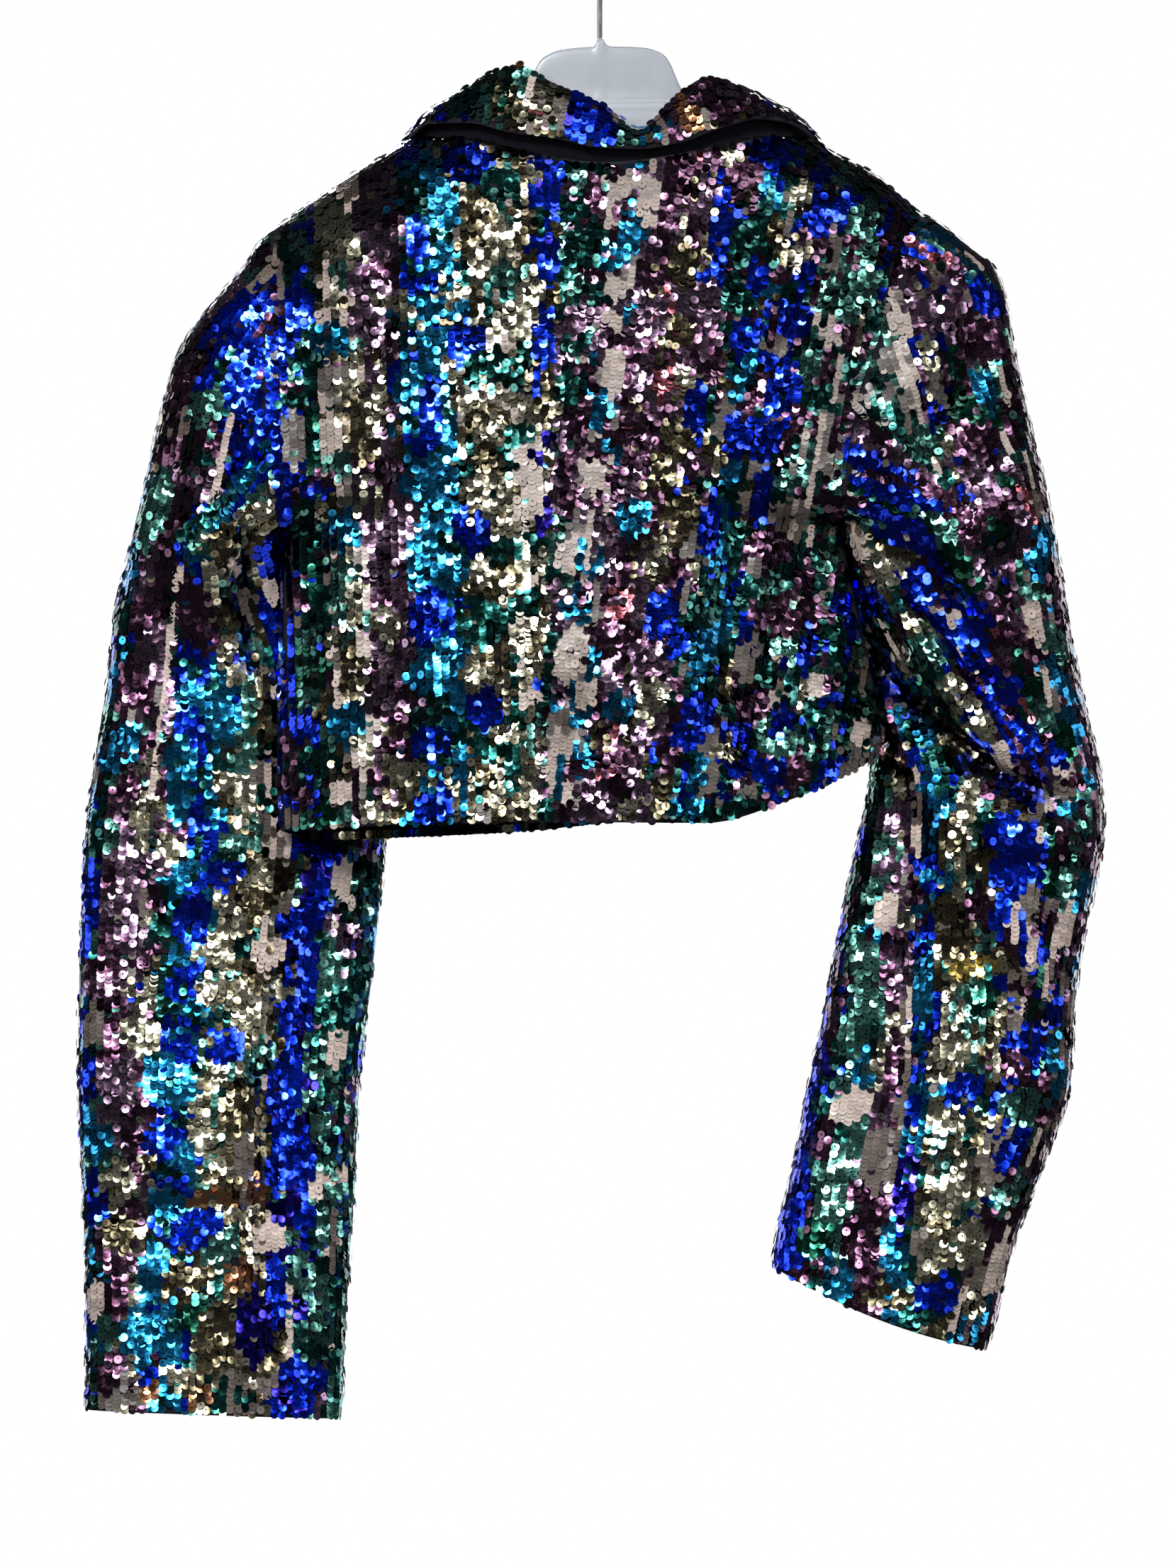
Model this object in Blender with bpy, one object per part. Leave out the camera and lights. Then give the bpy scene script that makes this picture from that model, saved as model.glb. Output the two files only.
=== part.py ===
"""Cropped sequin blazer, hanging back to front on a plastic suit hanger.

Blender units are metres. The tables below are in millimetres: x runs to the right as the back is seen,
y runs from the back towards the front, and drop is the distance below the crown of the hook.
The origin is the inside of the hook's crown, where a rail holds it. The wearer's left is at -x.
"""
import math

import bmesh
import bpy
import numpy as np

MM = 0.001
WALL = 2.0
COLLAR_WALL = 1.6
SEAM_GAP = 0.34
ARMHOLE_GAP = 0.3
CAP_GAP = 0.3
MITRE_LIMIT = 0.75
EDGE_LIMIT = 0.6
BACK_TO_BACK = -0.1
SEQUIN_CLOTH = ("sequin_cloth", (0.10, 0.13, 0.22, 1.0), 0.35, 0.3)
BLACK_CLOTH = ("black_cloth", (0.012, 0.012, 0.016, 1.0), 0.8, 0.0)
HANGER_PLASTIC = ("hanger_plastic", (0.82, 0.84, 0.86, 1.0), 0.35, 0.0)
HOOK_METAL = ("hook_metal", (0.55, 0.55, 0.56, 1.0), 0.25, 1.0)
BUTTON_PLASTIC = ("button_plastic", (0.02, 0.02, 0.025, 1.0), 0.3, 0.0)


class Table:
    """A short table with named columns. Each column is read as a smooth curve over the first one."""

    def __init__(self, columns, rows):
        self.columns = columns.split()
        self.data = np.array(rows, dtype=float)

    def read(self, column, at):
        """Monotone cubic through the rows, so a column never overshoots between two of them."""
        keys = self.data[:, 0]
        values = self.data[:, self.columns.index(column)]
        step = np.diff(keys)
        slope = np.diff(values) / step
        tangent = np.zeros_like(values)
        for k in range(1, len(values) - 1):
            before, after = slope[k - 1], slope[k]
            if before * after > 0:
                near = 2 * step[k] + step[k - 1]
                far = step[k] + 2 * step[k - 1]
                tangent[k] = (near + far) / (near / before + far / after)
        tangent[0] = slope[0]
        tangent[-1] = slope[-1]
        at = np.clip(np.asarray(at, dtype=float), keys[0], keys[-1])
        k = np.clip(np.searchsorted(keys, at, side="right") - 1, 0, len(step) - 1)
        t = (at - keys[k]) / step[k]
        rise = values[k + 1] - values[k]
        ease = t * t * (3 - 2 * t)
        lead = t * (1 - t) ** 2
        trail = t * t * (t - 1)
        return values[k] + rise * ease + step[k] * (lead * tangent[k] + trail * tangent[k + 1])


# The outer edge follows the photograph. In the cap, above the underarm, inner is where the section's
# ellipse would close if the armhole did not cut it. Slant is how much lower the inner edge lies.
SLEEVE_LEFT = Table("drop outer inner outer_y inner_y half_depth slant", [
    (180, -180.0, -176.0, 0, 0, 9, 0),
    (186, -187.5, -169.5, 0, 0, 17, 0),
    (204, -200.0, -162.0, 0, 0, 29, 0),
    (228, -220.4, -147.6, 0, 0, 36, 0),
    (252, -236.4, -131.6, 0, 0, 39, 0),
    (276, -244.0, -124.0, 0, 0, 40, 0),
    (300, -249.6, -124.4, 0, 0, 40, 0),
    (324, -254.8, -133.2, 0, 0, 39, 0),
    (342, -259.4, -152.6, 0, 0, 38, 0),
    (356, -262.4, -178.4, 0, 0, 36, 0),
    (366, -264.4, -180.2, 1, 10, 35, 0),
    (380, -267.4, -180.6, 2, 23, 33, 0),
    (400, -271.6, -168.0, 4, 35, 31, 0),
    (424, -274.0, -152.0, 6, 43, 28.5, 0),
    (468, -281.2, -135.0, 8, 50, 26, 0),
    (526, -289.0, -124.4, 8, 54, 25, 2),
    (588, -292.0, -130.0, 10, 50, 25, 3),
    (660, -293.0, -138.0, 10, 46, 24, 4),
    (732, -290.5, -141.6, 10, 43, 23, 5),
    (780, -288.8, -144.8, 9, 41, 22, 5),
    (848, -288.5, -148.0, 8, 40, 21, 6),
])
SLEEVE_RIGHT = Table("drop outer inner outer_y inner_y half_depth slant", [
    (173, 179.0, 175.0, 0, 0, 9, 0),
    (180, 191.6, 161.0, 0, 0, 18, 0),
    (192, 207.0, 137.0, 0, 0, 26, 0),
    (204, 221.5, 114.5, 0, 0, 31, 0),
    (228, 229.6, 88.4, 0, 0, 37, 0),
    (252, 232.8, 67.2, 0, 0, 40, 0),
    (276, 238.4, 46.6, 0, 0, 42, 0),
    (300, 243.6, 56.4, 0, 0, 43, 0),
    (324, 249.6, 86.4, 0, 0, 43, 0),
    (340, 252.5, 119.5, 0, 0, 42, 0),
    (348, 254.0, 137.6, 0, 0, 41, 0),
    (358, 256.0, 139.0, 1, 11, 40, 0),
    (372, 258.4, 138.0, 2, 21, 39, 0),
    (396, 262.4, 141.0, 4, 26, 37, 0),
    (420, 266.0, 146.5, 5, 27, 36, 0),
    (444, 270.8, 152.0, 6, 27, 36, 0),
    (468, 277.2, 156.0, 6, 26, 37, 0),
    (492, 281.6, 154.4, 6, 24, 38, 0),
    (516, 283.2, 150.0, 6, 23, 39, 0),
    (540, 280.4, 144.8, 6, 22, 38, 0),
    (588, 270.8, 135.0, 8, 20, 35, -2),
    (636, 266.0, 127.4, 10, 20, 33, -8),
    (660, 265.2, 123.0, 10, 20, 32, -12),
    (708, 250.0, 116.0, 12, 20, 31, -24),
    (756, 232.4, 108.3, 12, 20, 30, -34),
    (790, 224.0, 101.5, 14, 20, 29, -41),
    (814, 217.6, 98.8, 14, 20, 29, -46),
])
ARMHOLE_LEFT = Table("drop seam_x", [
    (177.5, -178.0), (204, -181.0), (228, -184.0), (300, -184.0), (324, -182.0), (356, -178.4),
])
ARMHOLE_RIGHT = Table("drop seam_x", [
    (170.0, 178.0), (204, 168.0), (228, 159.0), (252, 150.0), (276, 141.5), (300, 137.0), (324, 134.6),
    (348, 137.6),
])
SIDE_LEFT = Table("drop side_x side_y", [
    (356, -178.4, 0), (380, -179.4, -2), (420, -180.2, -5), (468, -181.0, -6), (521, -180.4, -6),
])
SIDE_RIGHT = Table("drop side_x side_y", [
    (348, 137.6, 0), (364, 139.8, -2), (384, 143.6, -4), (420, 151.6, -6), (465, 160.0, -6),
    (478, 159.2, -6),
])
# Shoulder ridges outside the neck points, and the neckline of the back between them.
BACK_TOP = Table("x drop", [
    (-178, 177.5), (-146.8, 156.0), (-122, 141.0), (-100, 131.0), (-80, 131.5), (-50, 137.0),
    (-20, 144.0), (10, 146.0), (40, 141.5), (70, 135.0), (95, 130.5), (113.6, 130.5), (132.4, 140.0),
    (148.8, 148.0), (160.8, 156.0), (178, 170.0),
])
BACK_HEM = Table("x drop", [
    (-180.4, 521.0), (-111.6, 517.6), (-20, 516.0), (60, 516.5), (105.6, 504.0), (133.6, 492.0),
    (159.2, 478.0),
])
FRONT_HEM = Table("x drop", [
    (-180.4, 521.0), (-160, 526.0), (-118, 525.0), (-58, 522.4), (-18, 519.0), (20, 514.0), (60, 508.0),
    (110, 496.0), (159.2, 478.0),
])
BODY_DEPTH = Table("drop back front", [
    (130, 36, 34), (180, 44, 42), (240, 47, 50), (320, 48, 54), (420, 46, 52), (530, 42, 47),
])
NECK_LEFT, NECK_RIGHT = -100.0, 113.6
NECK_POINT_DROP = 131.0
NECK_DEPTH = 36.0
SHOULDER_ROUND = 60.0
SIDE_ROUND = 138.0
CENTRE_BACK = (-20.4, -34.4)
CENTRE_BACK_TOP = 146.0
CENTRE_BACK_LENGTH = 370.0
HEM_NEAR = 515.0
LAP_LEFT, LAP_RIGHT = 0.0, -44.0
BREAK_DROP = 392.0
LAP_LIFT = 3.0
LAP_START = 34.0
LAP_SLOPE = 30.0
BACK_FLATNESS = 1.0
FRONT_FLATNESS = 1.7
ROW_CROWDING = 1.45
COLUMN_CROWDING = 1.35
FOLD_SETTLE = 6.0
CHEST = (-15.0, 0.0, -330.0)
LEFT_ARM = (-215.0, 20.0, -520.0)
RIGHT_ARM = (205.0, 15.0, -500.0)

# How far down the armhole each row lies, from the shoulder point (0) to the underarm (1).
ARM_STEPS = (
    0, 0.016, 0.05, 0.11, 0.19, 0.29, 0.40, 0.52, 0.62, 0.70, 0.77, 0.83, 0.88, 0.925, 0.965, 0.99, 1,
)
HIND_STEP = 8
FORE_STEP = 12
HIND_ANGLE = math.radians(50)
FORE_ANGLE = math.radians(115)
SEAM_SETTLE = 80.0
SIDE_ROWS = 7
SLEEVE_ROWS = 21
SHOULDER_COLUMNS = 9
NECK_COLUMNS = 7
UPPER_COLUMNS = 10

# Soft ridges (height above 0) and troughs, each along a curve through three points of the picture's plane.
FOLD_COLUMNS = "x0 drop0 x1 drop1 x2 drop2 width height"
BACK_FOLDS = Table(FOLD_COLUMNS, [
    (165, 200, 137, 236, 96, 308, 11, 7),
    (150, 184, 116, 226, 78, 292, 10, -5.6),
    (124, 290, 104, 318, 84, 380, 10, 5.6),
    (72, 300, 73, 370, 70, 440, 9, -5.6),
    (-24, 428, -18, 456, 3, 480, 9, -5.6),
    (12, 436, -6, 458, -22, 486, 9, -4.2),
    (-158, 262, -160, 332, -157, 400, 10, -4.2),
    (-143, 184, -150, 236, -150, 300, 12, 4.2),
    (136, 412, 132, 446, 121, 486, 12, 5.6),
    (98, 396, 92, 440, 86, 494, 10, -5.6),
    (-96, 400, -92, 450, -94, 512, 13, 4.2),
    (36, 420, 44, 460, 46, 512, 12, 4.2),
])
FRONT_FOLDS = Table(FOLD_COLUMNS, [
    (160, 216, 152, 270, 134, 344, 10, 4),
    (-160, 220, -152, 280, -132, 350, 11, 4),
    (118, 372, 88, 404, 44, 412, 12, 4),
    (104, 432, 84, 456, 52, 470, 11, -3),
    (-124, 380, -90, 420, -46, 440, 12, 3),
    (76, 440, 84, 470, 82, 494, 12, 3),
])
LEFT_BACK_FOLDS = Table(FOLD_COLUMNS, [
    (-197, 276, -199, 356, -193, 436, 10, -6.5),
    (-218, 260, -222, 332, -218, 396, 13, 5.2),
    (-238, 300, -244, 372, -248, 452, 10, -3.9),
    (-278, 732, -242, 726, -210, 728, 8, -3.9),
    (-166, 532, -170, 612, -178, 676, 12, -5.2),
    (-258, 552, -234, 584, -206, 596, 10, -3.9),
    (-206, 612, -210, 692, -210, 812, 14, 3.9),
])
LEFT_FRONT_FOLDS = Table(FOLD_COLUMNS, [
    (-200, 260, -206, 340, -200, 420, 12, 5.2),
    (-236, 270, -240, 350, -236, 430, 12, -5.2),
    (-170, 520, -200, 560, -240, 570, 11, -5.2),
    (-220, 600, -216, 700, -220, 800, 14, 3.9),
])
RIGHT_BACK_FOLDS = Table(FOLD_COLUMNS, [
    (144, 374, 186, 424, 253, 480, 14, -10),
    (152, 344, 204, 398, 264, 446, 15, 7),
    (162, 412, 206, 456, 246, 500, 14, 8),
    (166, 462, 194, 506, 216, 576, 14, -9),
    (156, 490, 174, 534, 188, 612, 14, 6),
    (172, 644, 166, 712, 162, 764, 13, -6),
    (222, 552, 230, 612, 222, 676, 16, 5),
    (218, 224, 198, 276, 178, 332, 14, -6),
    (238, 300, 222, 356, 196, 380, 15, 5),
    (152, 240, 146, 292, 148, 332, 12, -5),
])
RIGHT_FRONT_FOLDS = Table(FOLD_COLUMNS, [
    (160, 380, 200, 430, 250, 470, 15, -8),
    (170, 350, 214, 400, 262, 440, 15, 6),
    (168, 460, 200, 500, 236, 520, 14, 7),
    (214, 230, 196, 280, 182, 330, 14, -5),
    (190, 600, 186, 680, 180, 760, 15, 4),
])
FOLD_SAMPLES = 24
FOLD_REACH = 1.4

# Half of the hanger, by distance from its middle: the neck plate's top edge, the ledge at its foot, the
# underside, the plate's half thickness and the arm's half depth.
HANGER = Table("distance top ledge bottom plate arm", [
    (0, 74.0, 112, 150, 2.8, 9), (2.4, 74.2, 112, 150, 2.8, 9), (3.6, 78.2, 112, 150, 3.6, 9),
    (12, 78.6, 112, 150, 4.0, 9), (24, 79.6, 112, 150, 4.0, 9), (31, 81.8, 112, 150, 4.0, 9),
    (35, 84.5, 112, 150, 4.0, 9), (38, 89.0, 112.2, 150, 4.0, 9), (40.5, 95.0, 112.6, 150, 4.0, 9),
    (43, 101.0, 113.2, 150, 4.0, 9), (46, 106.0, 114.2, 150, 4.0, 9), (50, 111.0, 116.0, 150.5, 4.0, 9),
    (56, 116.0, 119.6, 151, 4.0, 9.2), (66, 121.0, 124.4, 152, 4.0, 9.4), (80, 126.0, 129.6, 154, 4.0, 9.8),
    (100, 132.8, 136.4, 160, 4.2, 10.4), (112, 137.4, 141.0, 166, 4.4, 11),
    (130, 146.4, 150.2, 176, 4.6, 11.6), (147, 156.0, 160.0, 186, 4.8, 12),
    (160, 164.4, 168.4, 193, 4.8, 12), (172, 174.4, 178.0, 198.5, 4.6, 11),
    (180, 180.8, 184.0, 201.5, 4.2, 10), (186, 186.2, 188.8, 202.8, 3.6, 8.4),
    (190, 190.4, 192.2, 202.0, 2.8, 6),
    (192.5, 194.4, 195.4, 200.0, 1.6, 3),
])
HANGER_MIDDLE = 2.0
HANGER_TILT = math.radians(1.1)
WIRE_RADIUS = 1.6
HOOK_RADIUS = 21.0
HOOK_START = math.radians(-60)
HOOK_END = math.radians(205)
HOOK_FOOT = 73.7
HOOK_SHANK_TOP = 54.0
HOOK_LEAVE = 7.5
HOOK_ARRIVE = 7.0
HOOK_BEND_POINTS = 8
HOOK_CROWN_POINTS = 34
BUTTON_RADIUS = 9.5
BUTTON_THICK = 3.2
BUTTON_SIDES = 20
BUTTON_FROM_EDGE = 22.0
BUTTON_BELOW_BREAK = 12.0
BUTTON_CLEAR = 0.6
# The button's half section, as shares of its radius and its thickness.
BUTTON_SECTION = (
    (0.0, 0.0), (0.82, 0.0), (1.0, 0.35), (0.97, 0.8), (0.86, 1.0), (0.7, 0.92), (0.6, 0.6), (0.0, 0.55),
)

# The collar's three lines: where it is sewn on, its fold, and the free edge of its leaf. Back rows follow
# the photograph's humps and dip. Stations up to FRONT_END and from FRONT_START lie on the fronts, where y
# is the height over the front.
COLLAR = Table("station neck_x neck_y neck_drop crest_x crest_y crest_drop edge_x edge_y edge_drop", [
    (0, -79, 0, 190, -77.6, 3.4, 190, -117, 4.6, 196),
    (1, -87, 0, 168, -85.6, 3.6, 168, -123, 4.8, 173),
    (2, -93, 0, 148, -91.5, 4.5, 146, -120, 5.0, 153),
    (2.5, -97, 12, 136.5, -94.5, 15, 128, -114, 17, 135.5),
    (3, -99.4, 0, 130.4, -92.0, 2.0, 116.5, -107.0, 0.0, 128.5),
    (4, -88.0, -15.5, 130.6, -82.0, -11.0, 107.5, -96.0, -20.0, 122.0),
    (5, -72.0, -24.0, 131.6, -63.0, -20.0, 95.5, -74.0, -35.0, 122.5),
    (6, -52.0, -30.0, 136.2, -46.0, -26.0, 89.8, -50.0, -42.5, 128.5),
    (7, -28.0, -34.4, 141.6, -26.0, -31.0, 100.2, -27.0, -46.0, 131.5),
    (8, 0.0, -36.0, 145.2, 0.0, -34.5, 111.5, 0.0, -48.0, 137.2),
    (9, 22.0, -35.8, 143.8, 22.0, -36.0, 127.0, 22.0, -48.0, 137.6),
    (10, 42.0, -34.2, 140.6, 42.0, -32.5, 108.5, 44.0, -46.5, 134.5),
    (11, 66.0, -30.4, 135.2, 61.0, -26.5, 96.8, 66.0, -42.0, 126.5),
    (12, 88.0, -21.6, 130.4, 84.0, -17.0, 105.0, 90.0, -31.0, 120.0),
    (13, 102.0, -13.5, 129.6, 96.0, -9.0, 112.0, 106.0, -19.0, 121.5),
    (14, 112.6, 0.0, 129.9, 105.0, 2.0, 117.0, 120.5, 0.0, 129.0),
    (14.5, 110, 12, 136.5, 106.5, 15, 128, 127, 17, 136.5),
    (15, 103, 0, 149, 101.5, 4.5, 147, 131, 5.0, 153),
    (16, 92, 0, 168, 90.8, 3.6, 168, 131, 4.8, 173),
    (17, 79, 0, 190, 77.8, 3.4, 190, 120, 4.6, 196),
])
FRONT_END = 2
FRONT_START = 15
STAND_FROM = 2.7
STAND_TO = 14.3
COLLAR_COLUMNS = 48
STAND_COLUMNS = 40
COLLAR_CENTRE = (6.8, 12.0, -150.0)
COLLAR_RISE = 0.3
FALL_ROWS = 5
STAND_ROWS = 3
LEAF_BULGE = 2.6
LEAF_BULGE_TOP = 0.7
STAND_UNDER_CREST = 3.6
STAND_INSIDE = 2.4
STAND_FOOT = 0.3

# The revers: its outer edge's distance from the roll line at each drop.
LAPEL_LEFT = Table("drop width", [
    (197, 58), (206, 64), (216, 66), (240, 60), (280, 45), (315, 27), (341, 9),
])
LAPEL_RIGHT = Table("drop width", [
    (197, 58), (206, 64), (216, 68), (240, 66), (280, 56), (330, 38), (370, 18), (390, 8),
])
LAPEL_ROWS = 12
LAPEL_COLUMNS = 6
LAPEL_LIFT = 3.0
LAPEL_ROLL = 1.6
LAPEL_ROLL_START = 0.15
LAPEL_DROOP = 6.0


def unit(vectors):
    """Vectors scaled to length one."""
    length = np.linalg.norm(vectors, axis=-1, keepdims=True)
    return vectors / np.maximum(length, 1e-9)


def fold_height(folds, x, drop):
    """How far the cloth stands out of its plain form at a place in the picture's plane."""
    x = np.asarray(x, dtype=float)
    total = np.zeros(np.broadcast(x, drop).shape)
    t = np.linspace(0, 1, FOLD_SAMPLES)
    fade = 1 - np.abs(2 * t - 1) ** 3
    for x0, d0, x1, d1, x2, d2, width, height in folds.data:
        line_x = (1 - t) ** 2 * x0 + 2 * t * (1 - t) * x1 + t * t * x2
        line_d = (1 - t) ** 2 * d0 + 2 * t * (1 - t) * d1 + t * t * d2
        away = (x[..., None] - line_x) ** 2 + (np.asarray(drop)[..., None] - line_d) ** 2
        total += height * np.max(fade * np.exp(-away / width ** 2), axis=-1)
    return total


class Sleeve:
    """One sleeve's form: a tube of flattened ellipses whose cap is cut off by the armhole."""

    def __init__(self, rows, armhole, back_folds, front_folds):
        self.rows = rows
        self.armhole = armhole
        self.back_folds = back_folds
        self.front_folds = front_folds
        self.apex = armhole.data[0, 0]
        self.underarm = armhole.data[-1, 0]
        self.cuff = rows.data[-1, 0]
        self.levels = self.apex + np.array(ARM_STEPS) * (self.underarm - self.apex)

    def seam_angle(self, drop):
        """Angle round the section, from the outer edge, at which the armhole cuts it."""
        outer = self.rows.read("outer", drop)
        inner = self.rows.read("inner", drop)
        seam_x = self.armhole.read("seam_x", drop)
        cosine = (seam_x - (outer + inner) / 2) / ((outer - inner) / 2)
        angle = np.arccos(np.clip(cosine, -1, 1))
        return np.where(drop >= self.underarm - 1e-6, math.pi, angle)

    def point(self, angle, drop):
        """Outer surface at an angle round the section, positive on the back."""
        angle, drop = np.broadcast_arrays(np.asarray(angle, dtype=float), np.asarray(drop, dtype=float))
        read = self.rows.read
        zero = np.zeros(drop.shape)
        outer = np.stack([read("outer", drop), read("outer_y", drop), -drop], axis=-1)
        inner = np.stack([read("inner", drop), read("inner_y", drop), -drop - read("slant", drop)], axis=-1)
        half = (outer - inner) / 2
        across = unit(half)
        back = np.stack([zero, zero - 1, zero], axis=-1)
        depth_way = unit(back - across * np.sum(back * across, axis=-1, keepdims=True))
        depth = read("half_depth", drop) * np.sin(angle)
        place = (outer + inner) / 2 + half * np.cos(angle)[..., None] + depth_way * depth[..., None]
        x, low = place[..., 0], -place[..., 2]
        fold = np.where(angle > 0, fold_height(self.back_folds, x, low), 0)
        fold = np.where(angle < 0, fold_height(self.front_folds, x, low), fold)
        fold = np.where(angle > math.pi, fold_height(self.front_folds, x, low), fold)
        side = np.sign(np.sin(angle)) * np.minimum(1, np.abs(np.sin(angle)) * FOLD_REACH)
        return place + depth_way * (fold * side)[..., None]

    def seam_lines(self, drop):
        """Angles of the hind and fore seams between the upper and the under sleeve."""
        hind_top = self.levels[HIND_STEP]
        fore_top = self.levels[FORE_STEP]
        cut = self.seam_angle(drop)
        hind = HIND_ANGLE + (self.seam_angle(hind_top) - HIND_ANGLE) * np.exp((hind_top - drop) / SEAM_SETTLE)
        fore = FORE_ANGLE + (self.seam_angle(fore_top) - FORE_ANGLE) * np.exp((fore_top - drop) / SEAM_SETTLE)
        return np.where(drop > hind_top, hind, cut), np.where(drop > fore_top, fore, cut)

    def row_drops(self):
        """Rows from the top of the cap to the cuff."""
        below = np.linspace(self.underarm, self.cuff, SLEEVE_ROWS + 1)[1:]
        return np.concatenate([self.levels[1:], below])

    def upper(self):
        """Grid of the upper sleeve, from the front boundary to the back one."""
        drops = self.row_drops()
        hind, fore = self.seam_lines(drops)
        share = np.linspace(-1, 1, UPPER_COLUMNS + 1)
        angles = np.where(share >= 0, share * hind[:, None], share * fore[:, None])
        grid = self.point(angles, drops[:, None])
        top = np.abs(share)
        grid[0, :, 0] = self.armhole.read("seam_x", drops[0])
        grid[0, :, 1] = -share * abs(self.point(hind[0], drops[0])[1])
        grid[0, :, 2] = -(self.apex + (drops[0] - self.apex) * top)
        return grid

    def under(self):
        """Grid of the under sleeve and which of its points exist: its columns start down the armhole."""
        last = len(self.levels) - 1
        back_levels = self.levels[HIND_STEP:]
        front_levels = self.levels[FORE_STEP:last][::-1]
        tops = np.concatenate([back_levels, front_levels])
        cut = self.seam_angle(tops)
        cut[len(back_levels):] = 2 * math.pi - cut[len(back_levels):]
        hind, fore = self.seam_lines(tops)
        share = (cut - hind) / (2 * math.pi - fore - hind)
        drops = self.row_drops()[HIND_STEP - 1:]
        hind, fore = self.seam_lines(drops)
        angles = hind[:, None] + share * (2 * math.pi - fore - hind)[:, None]
        return self.point(angles, drops[:, None]), drops[:, None] >= tops - 1e-6

    def seam_point(self, level, side):
        """Point of the armhole at a level, on the back (1) or the front (-1)."""
        if level <= self.apex + 1e-6:
            return np.array([self.armhole.read("seam_x", level), 0.0, -level])
        if level >= self.underarm - 1e-6:
            return self.point(math.pi, level)
        return self.point(side * float(self.seam_angle(level)), level)


LEFT_SLEEVE = Sleeve(SLEEVE_LEFT, ARMHOLE_LEFT, LEFT_BACK_FOLDS, LEFT_FRONT_FOLDS)
RIGHT_SLEEVE = Sleeve(SLEEVE_RIGHT, ARMHOLE_RIGHT, RIGHT_BACK_FOLDS, RIGHT_FRONT_FOLDS)


def side_boundary(sleeve, side_table, facing):
    """Points down the armhole and the side seam, shared by the back (1) or the front (-1)."""
    points = [sleeve.seam_point(level, facing) for level in sleeve.levels]
    hem = side_table.data[-1, 0]
    for drop in np.linspace(sleeve.underarm, hem, SIDE_ROWS + 1)[1:]:
        points.append(np.array([side_table.read("side_x", drop), side_table.read("side_y", drop), -drop]))
    return np.array(points)


def rounded(distance, radius):
    """Quarter-circle rise from 0 to 1 over a distance."""
    t = np.clip(distance / radius, 0, 1)
    return np.sqrt(1 - (1 - t) ** 2)


def row_shares(boundary):
    """How far down the side each row lies, from 0 at the shoulder to 1 at the hem."""
    side_drop = -boundary[:, 2]
    return (side_drop - side_drop[0]) / (side_drop[-1] - side_drop[0])


def middle_shares(count):
    """Row shares at the middle of the body, the same for its left and right halves."""
    return np.linspace(0, 1, count) ** ROW_CROWDING


def body_grid(boundary, columns_x, top_drop, hem, inner_x, facing, folds, top_y):
    """Grid of a back or front: rows run from the top line to the hem, columns in from the side."""
    share_in = (columns_x - columns_x[0]) / (columns_x[-1] - columns_x[0])
    side_share = row_shares(boundary)[:, None]
    share_down = side_share + (middle_shares(len(boundary))[:, None] - side_share) * share_in
    hem_x = boundary[-1, 0] + (inner_x(hem_guess(hem, inner_x)) - boundary[-1, 0]) * share_in
    drop = top_drop + share_down * (hem.read("drop", hem_x) - top_drop)
    edge_x = inner_x(drop[:, -1])
    x = boundary[:, :1] + (edge_x[:, None] - boundary[:, :1]) * share_in
    away = np.clip(np.abs(x - boundary[:, :1]) / SIDE_ROUND, 0, 1)
    swell = np.sqrt(1 - (1 - away) ** 2) ** (BACK_FLATNESS if facing > 0 else FRONT_FLATNESS)
    depth = BODY_DEPTH.read("back" if facing > 0 else "front", drop)
    full = top_y + (depth - top_y) * rounded(drop - top_drop, SHOULDER_ROUND)
    side = -facing * boundary[:, 1:2]
    arched = np.sqrt(np.clip(side ** 2 + (full ** 2 - side ** 2) * swell ** 2, 0, None))
    out = np.where(side >= 0, arched, side + (full - side) * swell)
    settled = np.clip(away * FOLD_SETTLE, 0, 1) * rounded(drop - top_drop, SHOULDER_ROUND)
    out = out + fold_height(folds, x, drop) * settled
    grid = np.stack([x, -facing * out, -drop], axis=-1)
    grid[:, 0] = boundary
    return grid


def hem_guess(hem, inner_x):
    """Drop of the hem at a panel's inner edge."""
    drop = HEM_NEAR
    for _ in range(4):
        drop = float(hem.read("drop", inner_x(drop)))
    return drop


def shoulder_columns(shoulder_x, neck_x):
    """Columns from the shoulder point to the neck point, closer together near the armhole."""
    share = np.linspace(0, 1, SHOULDER_COLUMNS + 1) ** COLUMN_CROWDING
    return shoulder_x + (neck_x - shoulder_x) * share


def centre_back(drop):
    """The centre-back seam's x."""
    top, bottom = CENTRE_BACK
    return top + (bottom - top) * np.clip((drop - CENTRE_BACK_TOP) / CENTRE_BACK_LENGTH, 0, 1)


def front_edge(neck_x, lap_x):
    """Function giving the x of a front's free edge: the roll line, then the lapped edge."""
    def edge(drop):
        run = BREAK_DROP - NECK_POINT_DROP
        share = np.clip((np.asarray(drop, dtype=float) - NECK_POINT_DROP) / run, 0, 1)
        return neck_x + (lap_x - neck_x) * share
    return edge


def back_grid(sleeve, side_table, neck_x):
    """Grid of one half of the back."""
    shoulder = shoulder_columns(sleeve.armhole.data[0, 1], neck_x)
    neck = np.linspace(neck_x, CENTRE_BACK[0], NECK_COLUMNS + 1)[1:]
    columns = np.concatenate([shoulder, neck])
    top_drop = BACK_TOP.read("drop", columns)
    middle = (NECK_LEFT + NECK_RIGHT) / 2
    half = (NECK_RIGHT - NECK_LEFT) / 2
    top_y = NECK_DEPTH * np.sqrt(np.clip(1 - ((columns - middle) / half) ** 2, 0, 1))
    boundary = side_boundary(sleeve, side_table, 1)
    grid = body_grid(boundary, columns, top_drop, BACK_HEM, centre_back, 1, BACK_FOLDS, top_y)
    grid[0, :, 0] = columns
    grid[0, :, 1] = -top_y
    return grid


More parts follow.
